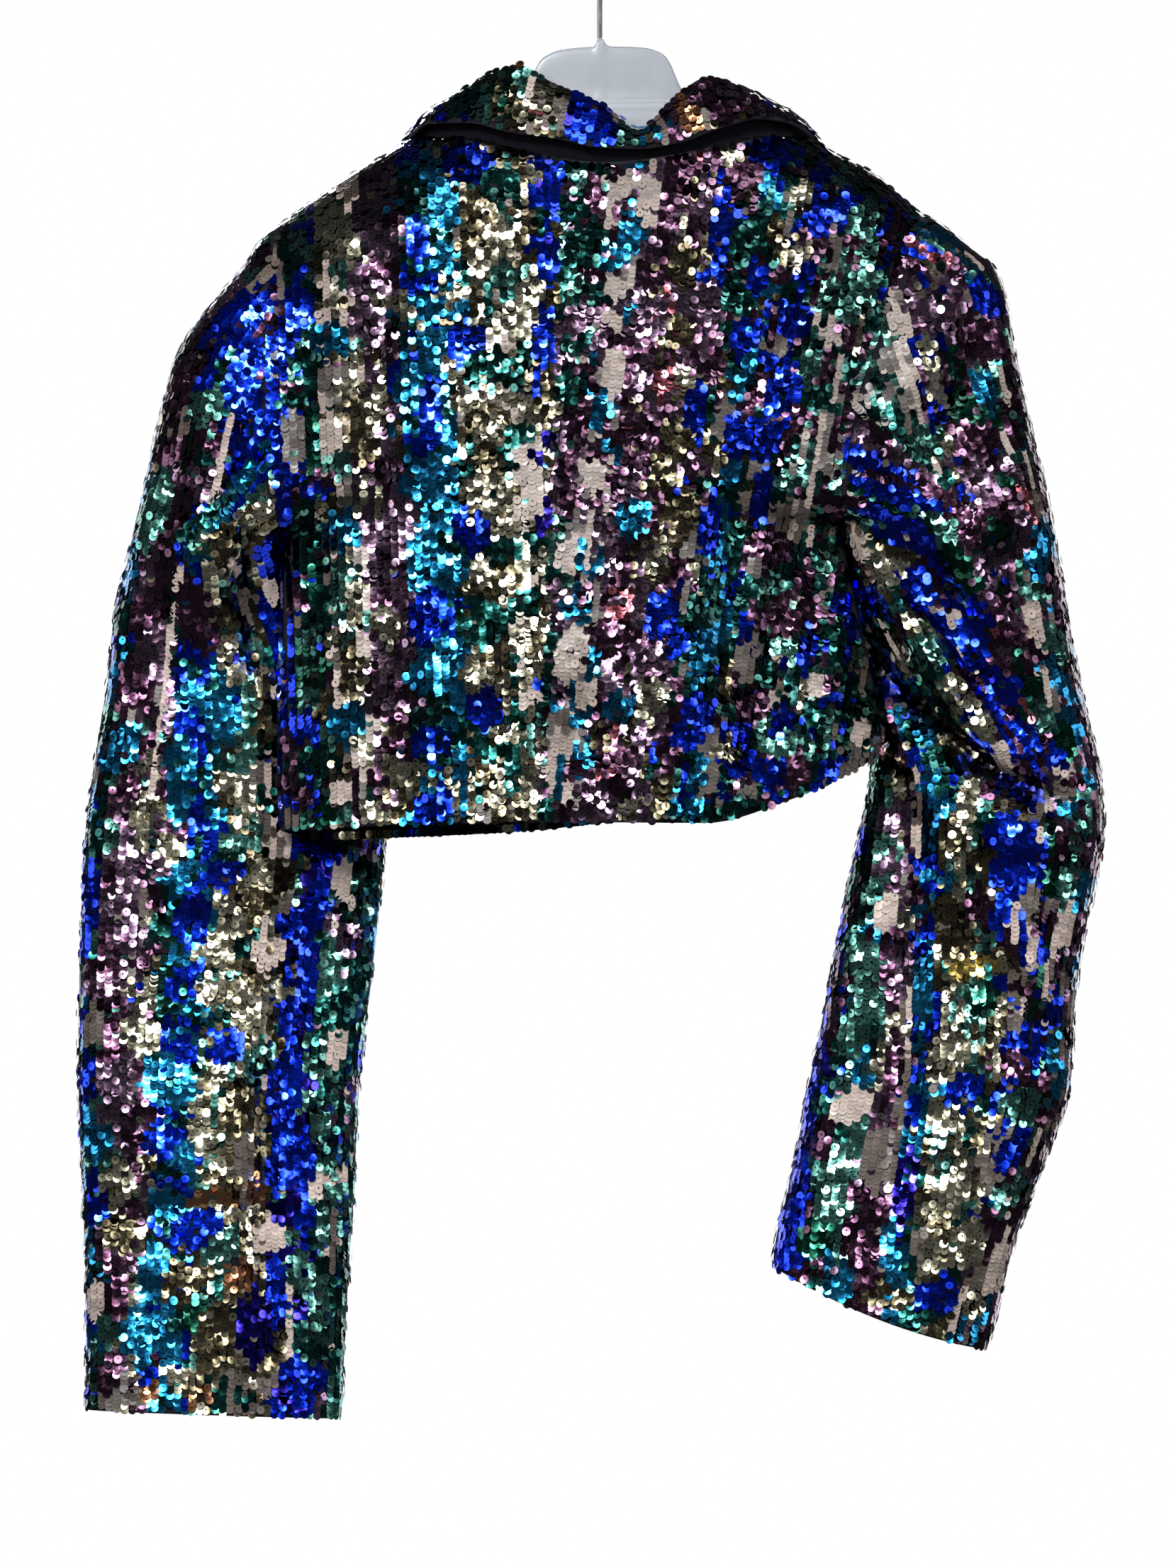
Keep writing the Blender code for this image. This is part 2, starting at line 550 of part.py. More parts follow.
def front_grid(sleeve, side_table, neck_x, lap_x):
    """Grid of one front."""
    columns = shoulder_columns(sleeve.armhole.data[0, 1], neck_x)
    top_drop = BACK_TOP.read("drop", columns)
    boundary = side_boundary(sleeve, side_table, -1)
    edge = front_edge(neck_x, lap_x)
    grid = body_grid(boundary, columns, top_drop, FRONT_HEM, edge, -1, FRONT_FOLDS, np.zeros(len(columns)))
    grid[0, :, 0] = columns
    grid[0, :, 1] = 0
    return grid


def lap_over(grid):
    """Lift the right front where it lies on the left one."""
    reach = np.clip((LAP_START - grid[..., 0]) / LAP_SLOPE, 0, 1)
    grid[..., 1] += LAP_LIFT * reach * reach * (3 - 2 * reach)
    return grid


class Panel:
    """A sheet of cloth: points, faces, and at each point the way from the inner skin to the outer one."""

    def __init__(self, grid, core, present=None):
        rows, columns = grid.shape[:2]
        if present is None:
            present = np.ones((rows, columns), dtype=bool)
        index = np.full((rows, columns), -1)
        index[present] = np.arange(present.sum())
        self.grid = grid
        self.points = grid[present]
        self.faces = []
        for j in range(rows - 1):
            for i in range(columns - 1):
                ring = (index[j, i], index[j, i + 1], index[j + 1, i + 1], index[j + 1, i])
                ring = tuple(int(k) for k in ring if k >= 0)
                if len(ring) > 2:
                    self.faces.append(ring)
        self.face_ways = np.array([self.face_way(face) for face in self.faces])
        centres = np.array([self.points[list(face)].mean(axis=0) for face in self.faces])
        if np.sum((centres - core) * self.face_ways) < 0:
            self.face_ways = -self.face_ways
        self.ways = np.zeros_like(self.points)
        for face, way in zip(self.faces, self.face_ways):
            for k in face:
                self.ways[k] += way
        self.ways = unit(self.ways)
        self.edges = self.find_edges()

    def face_way(self, face):
        """A face's unit normal."""
        corners = self.points[list(face)]
        return unit(np.cross(corners[2] - corners[0], corners[-1] - corners[1]))

    def find_edges(self):
        """Edges with one face, as (first point, second point, face)."""
        found = {}
        for number, face in enumerate(self.faces):
            for first, second in zip(face, face[1:] + face[:1]):
                pair = (min(first, second), max(first, second))
                found.setdefault(pair, []).append((first, second, number))
        return [uses[0] for uses in found.values() if len(uses) == 1]

    def draw_back(self, distance):
        """Draw the edges back from the seams, within the cloth."""
        pulls = {}
        for first, second, number in self.edges:
            along = self.points[second] - self.points[first]
            inward = unit(np.cross(self.face_ways[number], along))
            middle = self.points[list(self.faces[number])].mean(axis=0)
            if np.dot(inward, middle - self.points[first]) < 0:
                inward = -inward
            pulls.setdefault(first, []).append(inward)
            pulls.setdefault(second, []).append(inward)
        for k, (one, other) in pulls.items():
            self.points[k] += distance * (one + other) / max(EDGE_LIMIT, 1 + np.dot(one, other))

    def whole_ways(self):
        """The ways as a grid, for panels whose points all exist."""
        return self.ways.reshape(self.grid.shape)


def key(point):
    """Rounded coordinates, by which panels find the seam points they share."""
    return tuple(np.round(point, 1))


def share_ways(body, sleeves):
    """Give panels that meet at a seam one direction there, so their edges meet in a mitre."""
    meeting = {}
    for group, panels in enumerate((body, sleeves)):
        for panel in panels:
            for k in {first for first, _, _ in panel.edges}:
                sides = meeting.setdefault(key(panel.points[k]), (np.zeros(3), np.zeros(3)))
                sides[group][:] += panel.ways[k]
    for group, panels in enumerate((body, sleeves)):
        for panel in panels:
            for k in {first for first, _, _ in panel.edges}:
                sides = [unit(side) for side in meeting[key(panel.points[k])]]
                back_to_back = np.dot(*sides) < BACK_TO_BACK
                shared = sides[group] if back_to_back else unit(sides[0] + sides[1])
                panel.ways[k] = shared / max(MITRE_LIMIT, float(np.dot(shared, panel.ways[k])))


def straight_cap(panel):
    """Ways along the cap's first row, which lies on the straight ends of the shoulder."""
    columns = panel.grid.shape[1]
    middle = columns // 2
    ends = (panel.ways[0].copy(), panel.ways[columns - 1].copy())
    for i in range(columns):
        share = abs(i - middle) / middle
        panel.ways[i] = (1 - share) * panel.ways[middle] + share * ends[0 if i < middle else 1]


def material(finish):
    """A plain material, made once."""
    name, colour, roughness, metallic = finish
    made = bpy.data.materials.get(name)
    if made:
        return made
    made = bpy.data.materials.new(name)
    made.use_nodes = True
    shader = made.node_tree.nodes["Principled BSDF"]
    shader.inputs["Base Color"].default_value = colour
    shader.inputs["Roughness"].default_value = roughness
    shader.inputs["Metallic"].default_value = metallic
    made.diffuse_color = colour
    return made


def finish_object(name, bm, finish, parent):
    """Turn a closed bmesh into a named, smooth-shaded object."""
    bmesh.ops.recalc_face_normals(bm, faces=bm.faces)
    mesh = bpy.data.meshes.new(name)
    bm.to_mesh(mesh)
    bm.free()
    mesh.shade_smooth()
    mesh.set_sharp_from_angle(angle=math.radians(50))
    mesh.materials.append(material(finish))
    made = bpy.data.objects.new(name, mesh)
    made.parent = parent
    bpy.context.scene.collection.objects.link(made)
    return made


def wall_object(name, panel, wall, finish, parent):
    """A closed wall: the panel, the same panel moved in by the wall, and the edges between them."""
    bm = bmesh.new()
    near = [bm.verts.new(point * MM) for point in panel.points]
    far = [bm.verts.new(point * MM) for point in panel.points - wall * panel.ways]
    for face in panel.faces:
        bm.faces.new([near[k] for k in face])
        bm.faces.new([far[k] for k in reversed(face)])
    for first, second, _ in panel.edges:
        bm.faces.new((near[second], near[first], far[first], far[second]))
    return finish_object(name, bm, finish, parent)


def body_panels():
    """The sewn panels of the body and the sleeves."""
    panels = {
        "back_left": Panel(back_grid(LEFT_SLEEVE, SIDE_LEFT, NECK_LEFT), CHEST),
        "back_right": Panel(back_grid(RIGHT_SLEEVE, SIDE_RIGHT, NECK_RIGHT), CHEST),
        "front_left": Panel(front_grid(LEFT_SLEEVE, SIDE_LEFT, NECK_LEFT, LAP_LEFT), CHEST),
        "front_right": Panel(front_grid(RIGHT_SLEEVE, SIDE_RIGHT, NECK_RIGHT, LAP_RIGHT), CHEST),
        "sleeve_left_upper": Panel(LEFT_SLEEVE.upper(), LEFT_ARM),
        "sleeve_left_under": Panel(*under_parts(LEFT_SLEEVE, LEFT_ARM)),
        "sleeve_right_upper": Panel(RIGHT_SLEEVE.upper(), RIGHT_ARM),
        "sleeve_right_under": Panel(*under_parts(RIGHT_SLEEVE, RIGHT_ARM)),
    }
    share_ways([panel for name, panel in panels.items() if not name.startswith("sleeve")],
               [panel for name, panel in panels.items() if name.startswith("sleeve")])
    straight_cap(panels["sleeve_left_upper"])
    straight_cap(panels["sleeve_right_upper"])
    lap_over(panels["front_right"].points)
    lap_over(panels["front_right"].grid)
    for name, panel in panels.items():
        panel.draw_back(SEAM_GAP / 2)
        if name.endswith("upper"):
            columns = panel.grid.shape[1]
            first, second = panel.points[:columns], panel.points[columns:2 * columns]
            panel.points[:columns] = first + CAP_GAP * unit(second - first)
        if name.startswith("sleeve"):
            panel.points[:, 0] += math.copysign(ARMHOLE_GAP, panel.points[0, 0])
    return panels


def under_parts(sleeve, core):
    """What Panel needs for an under sleeve."""
    grid, present = sleeve.under()
    return grid, core, present


def on_front(front, x, drop, height):
    """Point over a front, seen from the front at x and drop, at a height along the cloth's normal."""
    grid = front.grid
    ways = front.whole_ways()
    best = None
    for j in range(grid.shape[0] - 1):
        for i in range(grid.shape[1] - 1):
            corners = ((j, i), (j, i + 1), (j + 1, i + 1), (j + 1, i))
            for trio in ((0, 1, 2), (0, 2, 3)):
                places = np.array([grid[corners[k]] for k in trio])
                shares = flat_shares(places[:, 0], -places[:, 2], x, drop)
                if best is None or shares.min() > best[0]:
                    best = (shares.min(), shares, places, np.array([ways[corners[k]] for k in trio]))
    _, shares, places, around = best
    shares = np.clip(shares, 0, 1)
    shares /= shares.sum()
    way = unit(shares @ around)
    return np.array([x, float(shares @ places[:, 1]), -drop]) + way * height


def flat_shares(xs, drops, x, drop):
    """Barycentric shares of a place in a triangle of the picture's plane."""
    a = np.array([[xs[1] - xs[0], xs[2] - xs[0]], [drops[1] - drops[0], drops[2] - drops[0]]])
    if abs(np.linalg.det(a)) < 1e-9:
        return np.array([-9.0, -9.0, -9.0])
    second, third = np.linalg.solve(a, np.array([x - xs[0], drop - drops[0]]))
    return np.array([1 - second - third, second, third])


def lapel_panel(front, neck_x, lap_x, widths):
    """A turned-back rever, made from points of its front moved out."""
    drops = np.linspace(widths.data[0, 0], widths.data[-1, 0], LAPEL_ROWS)
    roll_x = front_edge(neck_x, lap_x)(drops)
    reach = widths.read("width", drops) * math.copysign(1, neck_x)
    grid = np.zeros((LAPEL_ROWS, LAPEL_COLUMNS, 3))
    for j in range(LAPEL_ROWS):
        for i in range(LAPEL_COLUMNS):
            out = i / (LAPEL_COLUMNS - 1)
            height = LAPEL_LIFT + LAPEL_ROLL * math.sin(math.pi * min(1, out + LAPEL_ROLL_START))
            low = drops[j] + LAPEL_DROOP * out * out
            grid[j, i] = on_front(front, roll_x[j] + reach[j] * out, low, height)
    return Panel(grid, CHEST)


def collar_line(line, stations, fronts):
    """One of the collar's lines, with the front stations laid on the fronts."""
    rows = COLLAR.data.copy()
    first = COLLAR.columns.index(line + "_x")
    for row in rows:
        if FRONT_END < row[0] < FRONT_START:
            continue
        front = fronts["front_left" if row[0] <= FRONT_END else "front_right"]
        place = on_front(front, row[first], row[first + 2], row[first + 1])
        row[first], row[first + 1], row[first + 2] = place[0], place[1], -place[2]
    laid = Table("station " + " ".join(COLLAR.columns[1:]), rows)
    return np.stack([laid.read(line + "_x", stations), laid.read(line + "_y", stations),
                     -laid.read(line + "_drop", stations)], axis=-1)


def collar_panels(fronts):
    """The sequined leaf and the plain stand under it."""
    middle = np.array(COLLAR_CENTRE)
    stations = np.linspace(0, COLLAR.data[-1, 0], COLLAR_COLUMNS + 1)
    crest = collar_line("crest", stations, fronts)
    edge = collar_line("edge", stations, fronts)
    out = unit(((crest + edge) / 2 - middle) * (1, 1, COLLAR_RISE))
    leaf = []
    for t in np.linspace(0, 1, FALL_ROWS):
        bulge = LEAF_BULGE * math.sin(math.pi * t ** LEAF_BULGE_TOP)
        leaf.append(crest + (edge - crest) * t + out * bulge)
    stations = np.linspace(STAND_FROM, STAND_TO, STAND_COLUMNS)
    neck = collar_line("neck", stations, fronts)
    crest = collar_line("crest", stations, fronts)
    inward = unit((middle - neck) * (1, 1, 0))
    rise = crest - neck
    height = np.linalg.norm(rise, axis=-1, keepdims=True)
    top = neck + rise * np.clip(1 - STAND_UNDER_CREST / height, 0, 1) + inward * STAND_INSIDE
    foot = neck + (0, 0, STAND_FOOT)
    stand = np.array([foot + (top - foot) * t for t in np.linspace(0, 1, STAND_ROWS)])
    return Panel(np.array(leaf), middle), Panel(stand, middle)


def make_cloth(parent):
    """All cloth pieces."""
    panels = body_panels()
    for name, panel in panels.items():
        wall_object(name, panel, WALL, SEQUIN_CLOTH, parent)
    lapel = lapel_panel(panels["front_left"], NECK_LEFT, LAP_LEFT, LAPEL_LEFT)
    wall_object("lapel_left", lapel, WALL, SEQUIN_CLOTH, parent)
    lapel = lapel_panel(panels["front_right"], NECK_RIGHT, LAP_RIGHT, LAPEL_RIGHT)
    wall_object("lapel_right", lapel, WALL, SEQUIN_CLOTH, parent)
    leaf, stand = collar_panels(panels)
    wall_object("collar_fall", leaf, COLLAR_WALL, SEQUIN_CLOTH, parent)
    wall_object("collar_stand", stand, COLLAR_WALL, BLACK_CLOTH, parent)
    return panels


def hanger_section(distance, side):
    """One closed section of the hanger, in its own upright plane."""
    read = HANGER.read
    top, ledge, bottom = (float(read(c, distance)) for c in ("top", "ledge", "bottom"))
    plate, arm = float(read("plate", distance)), float(read("arm", distance))
    middle = (ledge + bottom) / 2
    right = [
        (0.0, top), (plate * 0.6, top + 0.2), (plate, top + min(1.6, (ledge - top) * 0.45)),
        (plate, ledge - (ledge - top) * 0.12), (plate + 0.6 * (arm - plate), ledge),
        (arm * 0.97, ledge + (middle - ledge) * 0.3), (arm, middle),
        (arm * 0.87, middle + (bottom - middle) * 0.6), (arm * 0.5, bottom - (bottom - middle) * 0.1),
        (0.0, bottom),
    ]
    ring = right + [(-y, drop) for y, drop in right[-2:0:-1]]
    x = side * distance
    turn, lean = math.cos(HANGER_TILT), math.sin(HANGER_TILT)
    return [(HANGER_MIDDLE + x * turn, y, -(drop - x * lean)) for y, drop in ring]


def make_hanger(parent):
    """Neck plate and arms, lofted through sections from one tip to the other."""
    distances = HANGER.data[:, 0]
    stations = [(-1, d) for d in distances[:0:-1]] + [(1, d) for d in distances]
    bm = bmesh.new()
    rings = []
    for side, distance in stations:
        ring = [bm.verts.new(np.array(p) * MM) for p in hanger_section(distance, side)]
        rings.append(ring)
    count = len(rings[0])
    for first, second in zip(rings, rings[1:]):
        for i in range(count):
            k = (i + 1) % count
            bm.faces.new((first[i], first[k], second[k], second[i]))
    bm.faces.new(rings[0])
    bm.faces.new(rings[-1])
    return finish_object("hanger_body", bm, HANGER_PLASTIC, parent)


def hook_path():
    """Centre line of the hook's wire: shank, bend and crown."""
    centre = WIRE_RADIUS - HOOK_RADIUS
    points = [(0.0, -HOOK_FOOT), (0.0, -(HOOK_FOOT + HOOK_SHANK_TOP) / 2)]
    start = np.array([0.0, -HOOK_SHANK_TOP])
    end = np.array([math.cos(HOOK_START), math.sin(HOOK_START)]) * HOOK_RADIUS + (0, centre)
    leave = start + (0, HOOK_LEAVE)
    arrive = end - np.array([-math.sin(HOOK_START), math.cos(HOOK_START)]) * HOOK_ARRIVE
    for t in np.linspace(0, 1, HOOK_BEND_POINTS + 1)[:-1]:
        near = (1 - t) ** 3 * start + 3 * t * (1 - t) ** 2 * leave
        points.append(tuple(near + 3 * t * t * (1 - t) * arrive + t ** 3 * end))
    for angle in np.linspace(HOOK_START, HOOK_END, HOOK_CROWN_POINTS):
        points.append((math.cos(angle) * HOOK_RADIUS, centre + math.sin(angle) * HOOK_RADIUS))
    return points


def make_hook(parent):
    """The metal hook, a bevelled curve with filled ends."""
    curve = bpy.data.curves.new("hanger_hook", "CURVE")
    curve.dimensions = "3D"
    curve.bevel_depth = WIRE_RADIUS * MM
    curve.bevel_resolution = 3
    curve.use_fill_caps = True
    path = hook_path()
    spline = curve.splines.new("POLY")
    spline.points.add(len(path) - 1)
    for place, (x, z) in zip(spline.points, path):
        place.co = (x * MM, 0.0, z * MM, 1.0)
    curve.materials.append(material(HOOK_METAL))
    hook = bpy.data.objects.new("hanger_hook", curve)
    hook.parent = parent
    bpy.context.scene.collection.objects.link(hook)
    return hook


def make_button(front, parent):
    """One plain dished button, just off the right front's face at the break of the lapels."""
    seat = on_front(front, LAP_RIGHT + BUTTON_FROM_EDGE, BREAK_DROP + BUTTON_BELOW_BREAK, BUTTON_CLEAR)
    bm = bmesh.new()
    rings = []
    for share, rise in BUTTON_SECTION:
        radius, out = share * BUTTON_RADIUS, rise * BUTTON_THICK
        if radius == 0:
            rings.append([bm.verts.new((0.0, out * MM, 0.0))])
            continue
        ring = []
        for k in range(BUTTON_SIDES):
            turn = 2 * math.pi * k / BUTTON_SIDES
            ring.append(bm.verts.new((radius * math.cos(turn) * MM, out * MM, radius * math.sin(turn) * MM)))
        rings.append(ring)
    for first, second in zip(rings, rings[1:]):
        for k in range(BUTTON_SIDES):
            n = (k + 1) % BUTTON_SIDES
            if len(first) == 1:
                bm.faces.new((first[0], second[k], second[n]))
            elif len(second) == 1:
                bm.faces.new((first[k], first[n], second[0]))
            else:
                bm.faces.new((first[k], first[n], second[n], second[k]))
    button = finish_object("button", bm, BUTTON_PLASTIC, parent)
    button.location = (seat * MM).tolist()
    return button


def empty(name):
    """A named parent without geometry."""
    made = bpy.data.objects.new(name, None)
    bpy.context.scene.collection.objects.link(made)
    return made


def main():
    """Clear the scene and build the blazer on its hanger."""
    for old in list(bpy.data.objects):
        bpy.data.objects.remove(old, do_unlink=True)
    garment = empty("garment")
    hanger = empty("hanger")
    panels = make_cloth(garment)
    make_button(panels["front_right"], garment)
    make_hanger(hanger)
    make_hook(hanger)


main()
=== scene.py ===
"""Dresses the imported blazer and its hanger: backing cloth, sewn sequins, hanger, hook, button and studio.

Tables are in millimetres: x runs to the right as the back is seen, y from the back towards the front, and
drop is the distance below the crown of the hook. The wearer's left is at -x.
"""
import math

import bmesh
import bpy
import numpy as np
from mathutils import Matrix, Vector
from bpy.props import FloatProperty, FloatVectorProperty, IntProperty, PointerProperty


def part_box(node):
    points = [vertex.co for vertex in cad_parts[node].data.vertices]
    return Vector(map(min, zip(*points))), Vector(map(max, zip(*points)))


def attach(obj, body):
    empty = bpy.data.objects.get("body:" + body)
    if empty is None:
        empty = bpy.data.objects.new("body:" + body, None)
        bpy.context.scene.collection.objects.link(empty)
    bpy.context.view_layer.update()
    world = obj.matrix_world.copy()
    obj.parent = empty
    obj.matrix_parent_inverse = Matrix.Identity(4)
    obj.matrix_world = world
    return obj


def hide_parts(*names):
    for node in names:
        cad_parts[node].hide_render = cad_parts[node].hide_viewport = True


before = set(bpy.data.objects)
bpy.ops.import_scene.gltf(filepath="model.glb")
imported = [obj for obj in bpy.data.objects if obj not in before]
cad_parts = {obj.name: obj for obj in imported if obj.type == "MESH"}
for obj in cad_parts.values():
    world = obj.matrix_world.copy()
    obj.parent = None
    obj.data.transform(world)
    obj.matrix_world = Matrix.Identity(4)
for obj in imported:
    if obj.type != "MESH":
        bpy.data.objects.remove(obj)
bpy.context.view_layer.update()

bl_info = {
    "name": "Sequin blazer on a hanger",
    "version": (1, 0, 0),
    "blender": (4, 5, 0),
    "location": "3D View > Sidebar > Blazer",
    "description": "Builds the cloth, sequins, hanger finish and studio of a hanging sequin blazer",
    "category": "Object",
}

MM = 0.001
# The cloth's rows and columns are this many times as many as the solids'.
FINE = 3
# Gaps between two panels, between a sleeve and the body, and above the cap's first row.
SEAM_GAP = 0.34
ARMHOLE_GAP = 0.3
CAP_GAP = 0.3
# Least shares by which a mitre at a seam and a pull at a corner are divided, and from when on two panels
# count as back to back.
MITRE_LIMIT = 0.75
EDGE_LIMIT = 0.6
BACK_TO_BACK = -0.1
# Triangles of a front with less area than this, seen from the front, hold nothing.
SLIVER = 1e-9


class Table:
    """A short table with named columns. Each column is read as a smooth curve over the first one."""

    def __init__(self, columns, rows):
        self.columns = columns.split()
        self.data = np.array(rows, dtype=float)

    def read(self, column, at):
        """Monotone cubic through the rows, so a column never overshoots between two of them."""
        keys = self.data[:, 0]
        values = self.data[:, self.columns.index(column)]
        step = np.diff(keys)
        slope = np.diff(values) / step
        tangent = np.zeros_like(values)
        for k in range(1, len(values) - 1):
            before, after = slope[k - 1], slope[k]
            if before * after > 0:
                near = 2 * step[k] + step[k - 1]
                far = step[k] + 2 * step[k - 1]
                tangent[k] = (near + far) / (near / before + far / after)
        tangent[0] = slope[0]
        tangent[-1] = slope[-1]
        at = np.clip(np.asarray(at, dtype=float), keys[0], keys[-1])
        k = np.clip(np.searchsorted(keys, at, side="right") - 1, 0, len(step) - 1)
        t = (at - keys[k]) / step[k]
        rise = values[k + 1] - values[k]
        ease = t * t * (3 - 2 * t)
        lead = t * (1 - t) ** 2
        trail = t * t * (t - 1)
        return values[k] + rise * ease + step[k] * (lead * tangent[k] + trail * tangent[k + 1])


# The outer edge follows the photograph. In the cap, above the underarm, inner is where the section's
# ellipse would close if the armhole did not cut it. Slant is how much lower the inner edge lies.
SLEEVE_LEFT = Table("drop outer inner outer_y inner_y half_depth slant", [
    (180, -180.0, -176.0, 0, 0, 6, 0),
    (186, -187.5, -169.5, 0, 0, 17, 0),
    (204, -200.0, -162.0, 0, 0, 29, 0),
    (228, -220.4, -147.6, 0, 0, 36, 0),
    (252, -236.4, -131.6, 0, 0, 39, 0),
    (276, -244.0, -124.0, 0, 0, 40, 0),
    (300, -249.6, -124.4, 0, 0, 40, 0),
    (324, -254.8, -133.2, 0, 0, 39, 0),
    (342, -259.4, -152.6, 0, 0, 38, 0),
    (356, -262.4, -178.4, 0, 0, 36, 0),
    (366, -264.4, -180.2, 1, 10, 35, 0),
    (380, -267.4, -180.6, 2, 23, 33, 0),
    (400, -271.6, -168.0, 4, 35, 31, 0),
    (424, -274.0, -152.0, 6, 43, 28.5, 0),
    (468, -281.2, -135.0, 8, 50, 26, 0),
    (526, -289.0, -124.4, 8, 54, 25, 2),
    (588, -292.0, -130.0, 10, 50, 25, 3),
    (660, -293.0, -138.0, 10, 46, 24, 4),
    (732, -290.5, -141.6, 10, 43, 23, 5),
    (780, -288.8, -144.8, 9, 41, 22, 5),
    (848, -288.5, -148.0, 8, 40, 21, 6),
])
SLEEVE_RIGHT = Table("drop outer inner outer_y inner_y half_depth slant", [
    (173, 179.0, 175.0, 0, 0, 6, 0),
    (180, 191.6, 161.0, 0, 0, 18, 0),
    (192, 207.0, 137.0, 0, 0, 26, 0),
    (204, 221.5, 114.5, 0, 0, 31, 0),
    (228, 229.6, 88.4, 0, 0, 37, 0),
    (252, 232.8, 67.2, 0, 0, 40, 0),
    (276, 238.4, 46.6, 0, 0, 42, 0),
    (300, 243.6, 56.4, 0, 0, 43, 0),
    (324, 249.6, 86.4, 0, 0, 43, 0),
    (340, 252.5, 119.5, 0, 0, 42, 0),
    (348, 254.0, 137.6, 0, 0, 41, 0),
    (358, 256.0, 139.0, 1, 11, 40, 0),
    (372, 258.4, 138.0, 2, 21, 39, 0),
    (396, 262.4, 141.0, 4, 26, 37, 0),
    (420, 266.0, 146.5, 5, 27, 36, 0),
    (444, 270.8, 152.0, 6, 27, 36, 0),
    (468, 277.2, 156.0, 6, 26, 37, 0),
    (492, 281.6, 154.4, 6, 24, 38, 0),
    (516, 283.2, 150.0, 6, 23, 39, 0),
    (540, 280.4, 144.8, 6, 22, 38, 0),
    (588, 270.8, 135.0, 8, 20, 35, -2),
    (636, 266.0, 127.4, 10, 20, 33, -8),
    (660, 265.2, 123.0, 10, 20, 32, -12),
    (708, 250.0, 116.0, 12, 20, 31, -24),
    (756, 232.4, 108.3, 12, 20, 30, -34),
    (790, 224.0, 101.5, 14, 20, 29, -41),
    (814, 217.6, 98.8, 14, 20, 29, -46),
])
ARMHOLE_LEFT = Table("drop seam_x", [
    (177.5, -178.0), (204, -181.0), (228, -184.0), (300, -184.0), (324, -182.0), (356, -178.4),
])
ARMHOLE_RIGHT = Table("drop seam_x", [
    (170.0, 178.0), (204, 168.0), (228, 159.0), (252, 150.0), (276, 141.5), (300, 137.0), (324, 134.6),
    (348, 137.6),
])
SIDE_LEFT = Table("drop side_x side_y", [
    (356, -178.4, 0), (380, -179.4, -2), (420, -180.2, -5), (468, -181.0, -6), (521, -180.4, -6),
])
SIDE_RIGHT = Table("drop side_x side_y", [
    (348, 137.6, 0), (364, 139.8, -2), (384, 143.6, -4), (420, 151.6, -6), (465, 160.0, -6),
    (478, 159.2, -6),
])
# Shoulder ridges outside the neck points, and the neckline of the back between them.
BACK_TOP = Table("x drop", [
    (-178, 177.5), (-146.8, 156.0), (-122, 141.0), (-100, 131.0), (-80, 131.5), (-50, 137.0),
    (-20, 144.0), (10, 146.0), (40, 141.5), (70, 135.0), (95, 130.5), (113.6, 130.5), (132.4, 140.0),
    (148.8, 148.0), (160.8, 156.0), (178, 170.0),
])
BACK_HEM = Table("x drop", [
    (-180.4, 521.0), (-111.6, 517.6), (-20, 516.0), (60, 516.5), (105.6, 504.0), (133.6, 492.0),
    (159.2, 478.0),
])
FRONT_HEM = Table("x drop", [
    (-180.4, 521.0), (-160, 526.0), (-118, 525.0), (-58, 522.4), (-18, 519.0), (20, 514.0), (60, 508.0),
    (110, 496.0), (159.2, 478.0),
])
BODY_DEPTH = Table("drop back front", [
    (130, 36, 34), (180, 44, 42), (240, 47, 50), (320, 48, 54), (420, 46, 52), (530, 42, 47),
])
# The neck points, and how far back the neckline of the back lies.
NECK_LEFT, NECK_RIGHT = -100.0, 113.6
NECK_POINT_DROP = 131.0
NECK_DEPTH = 36.0
# Over what distances the body rounds in at its shoulder lines and sides.
SHOULDER_ROUND = 60.0
SIDE_ROUND = 138.0
# The centre-back seam's x at its top and at its foot, and a first guess of the hem's drop.
CENTRE_BACK = (-20.4, -34.4)
CENTRE_BACK_TOP = 146.0
CENTRE_BACK_LENGTH = 370.0
HEM_NEAR = 515.0
# The fronts' edges from the break down, and how the right front rises over the left one.
LAP_LEFT, LAP_RIGHT = 0.0, -44.0
BREAK_DROP = 392.0
LAP_LIFT = 3.0
LAP_START = 34.0
LAP_SLOPE = 30.0
# Powers that flatten or round the sections, and that crowd rows at the top and columns at the armhole.
BACK_FLATNESS = 1.0
FRONT_FLATNESS = 1.7
SLEEVE_FLATNESS = 0.7
ROW_CROWDING = 1.45
COLUMN_CROWDING = 1.35
# How soon the body's folds start from the side, and from how far up a cuff hangs down in its middle.
FOLD_SETTLE = 6.0
CUFF_HANG_FROM = 70.0
# Points inside the body and the arms, away from which the cloth faces.
CHEST = (-15.0, 0.0, -330.0)
LEFT_ARM = (-215.0, 20.0, -520.0)
RIGHT_ARM = (205.0, 15.0, -500.0)

# How far down the armhole each row of the solids lies, from the shoulder point (0) to the underarm (1).
ARM_ROWS = (
    0, 0.016, 0.05, 0.11, 0.19, 0.29, 0.40, 0.52, 0.62, 0.70, 0.77, 0.83, 0.88, 0.925, 0.965, 0.99, 1,
)
ARM_STEPS = np.interp(
    np.arange((len(ARM_ROWS) - 1) * FINE + 1) / FINE, np.arange(len(ARM_ROWS)), ARM_ROWS,
)
# The sleeve's two seams: the armhole step where each starts, the angle round the section that it settles
# to, and over what length.
HIND_STEP = 8 * FINE
FORE_STEP = 12 * FINE
HIND_ANGLE = math.radians(50)
FORE_ANGLE = math.radians(115)
SEAM_SETTLE = 80.0
SIDE_ROWS = 7 * FINE
SLEEVE_ROWS = 21 * FINE
SHOULDER_COLUMNS = 9 * FINE
NECK_COLUMNS = 7 * FINE
UPPER_COLUMNS = 10 * FINE

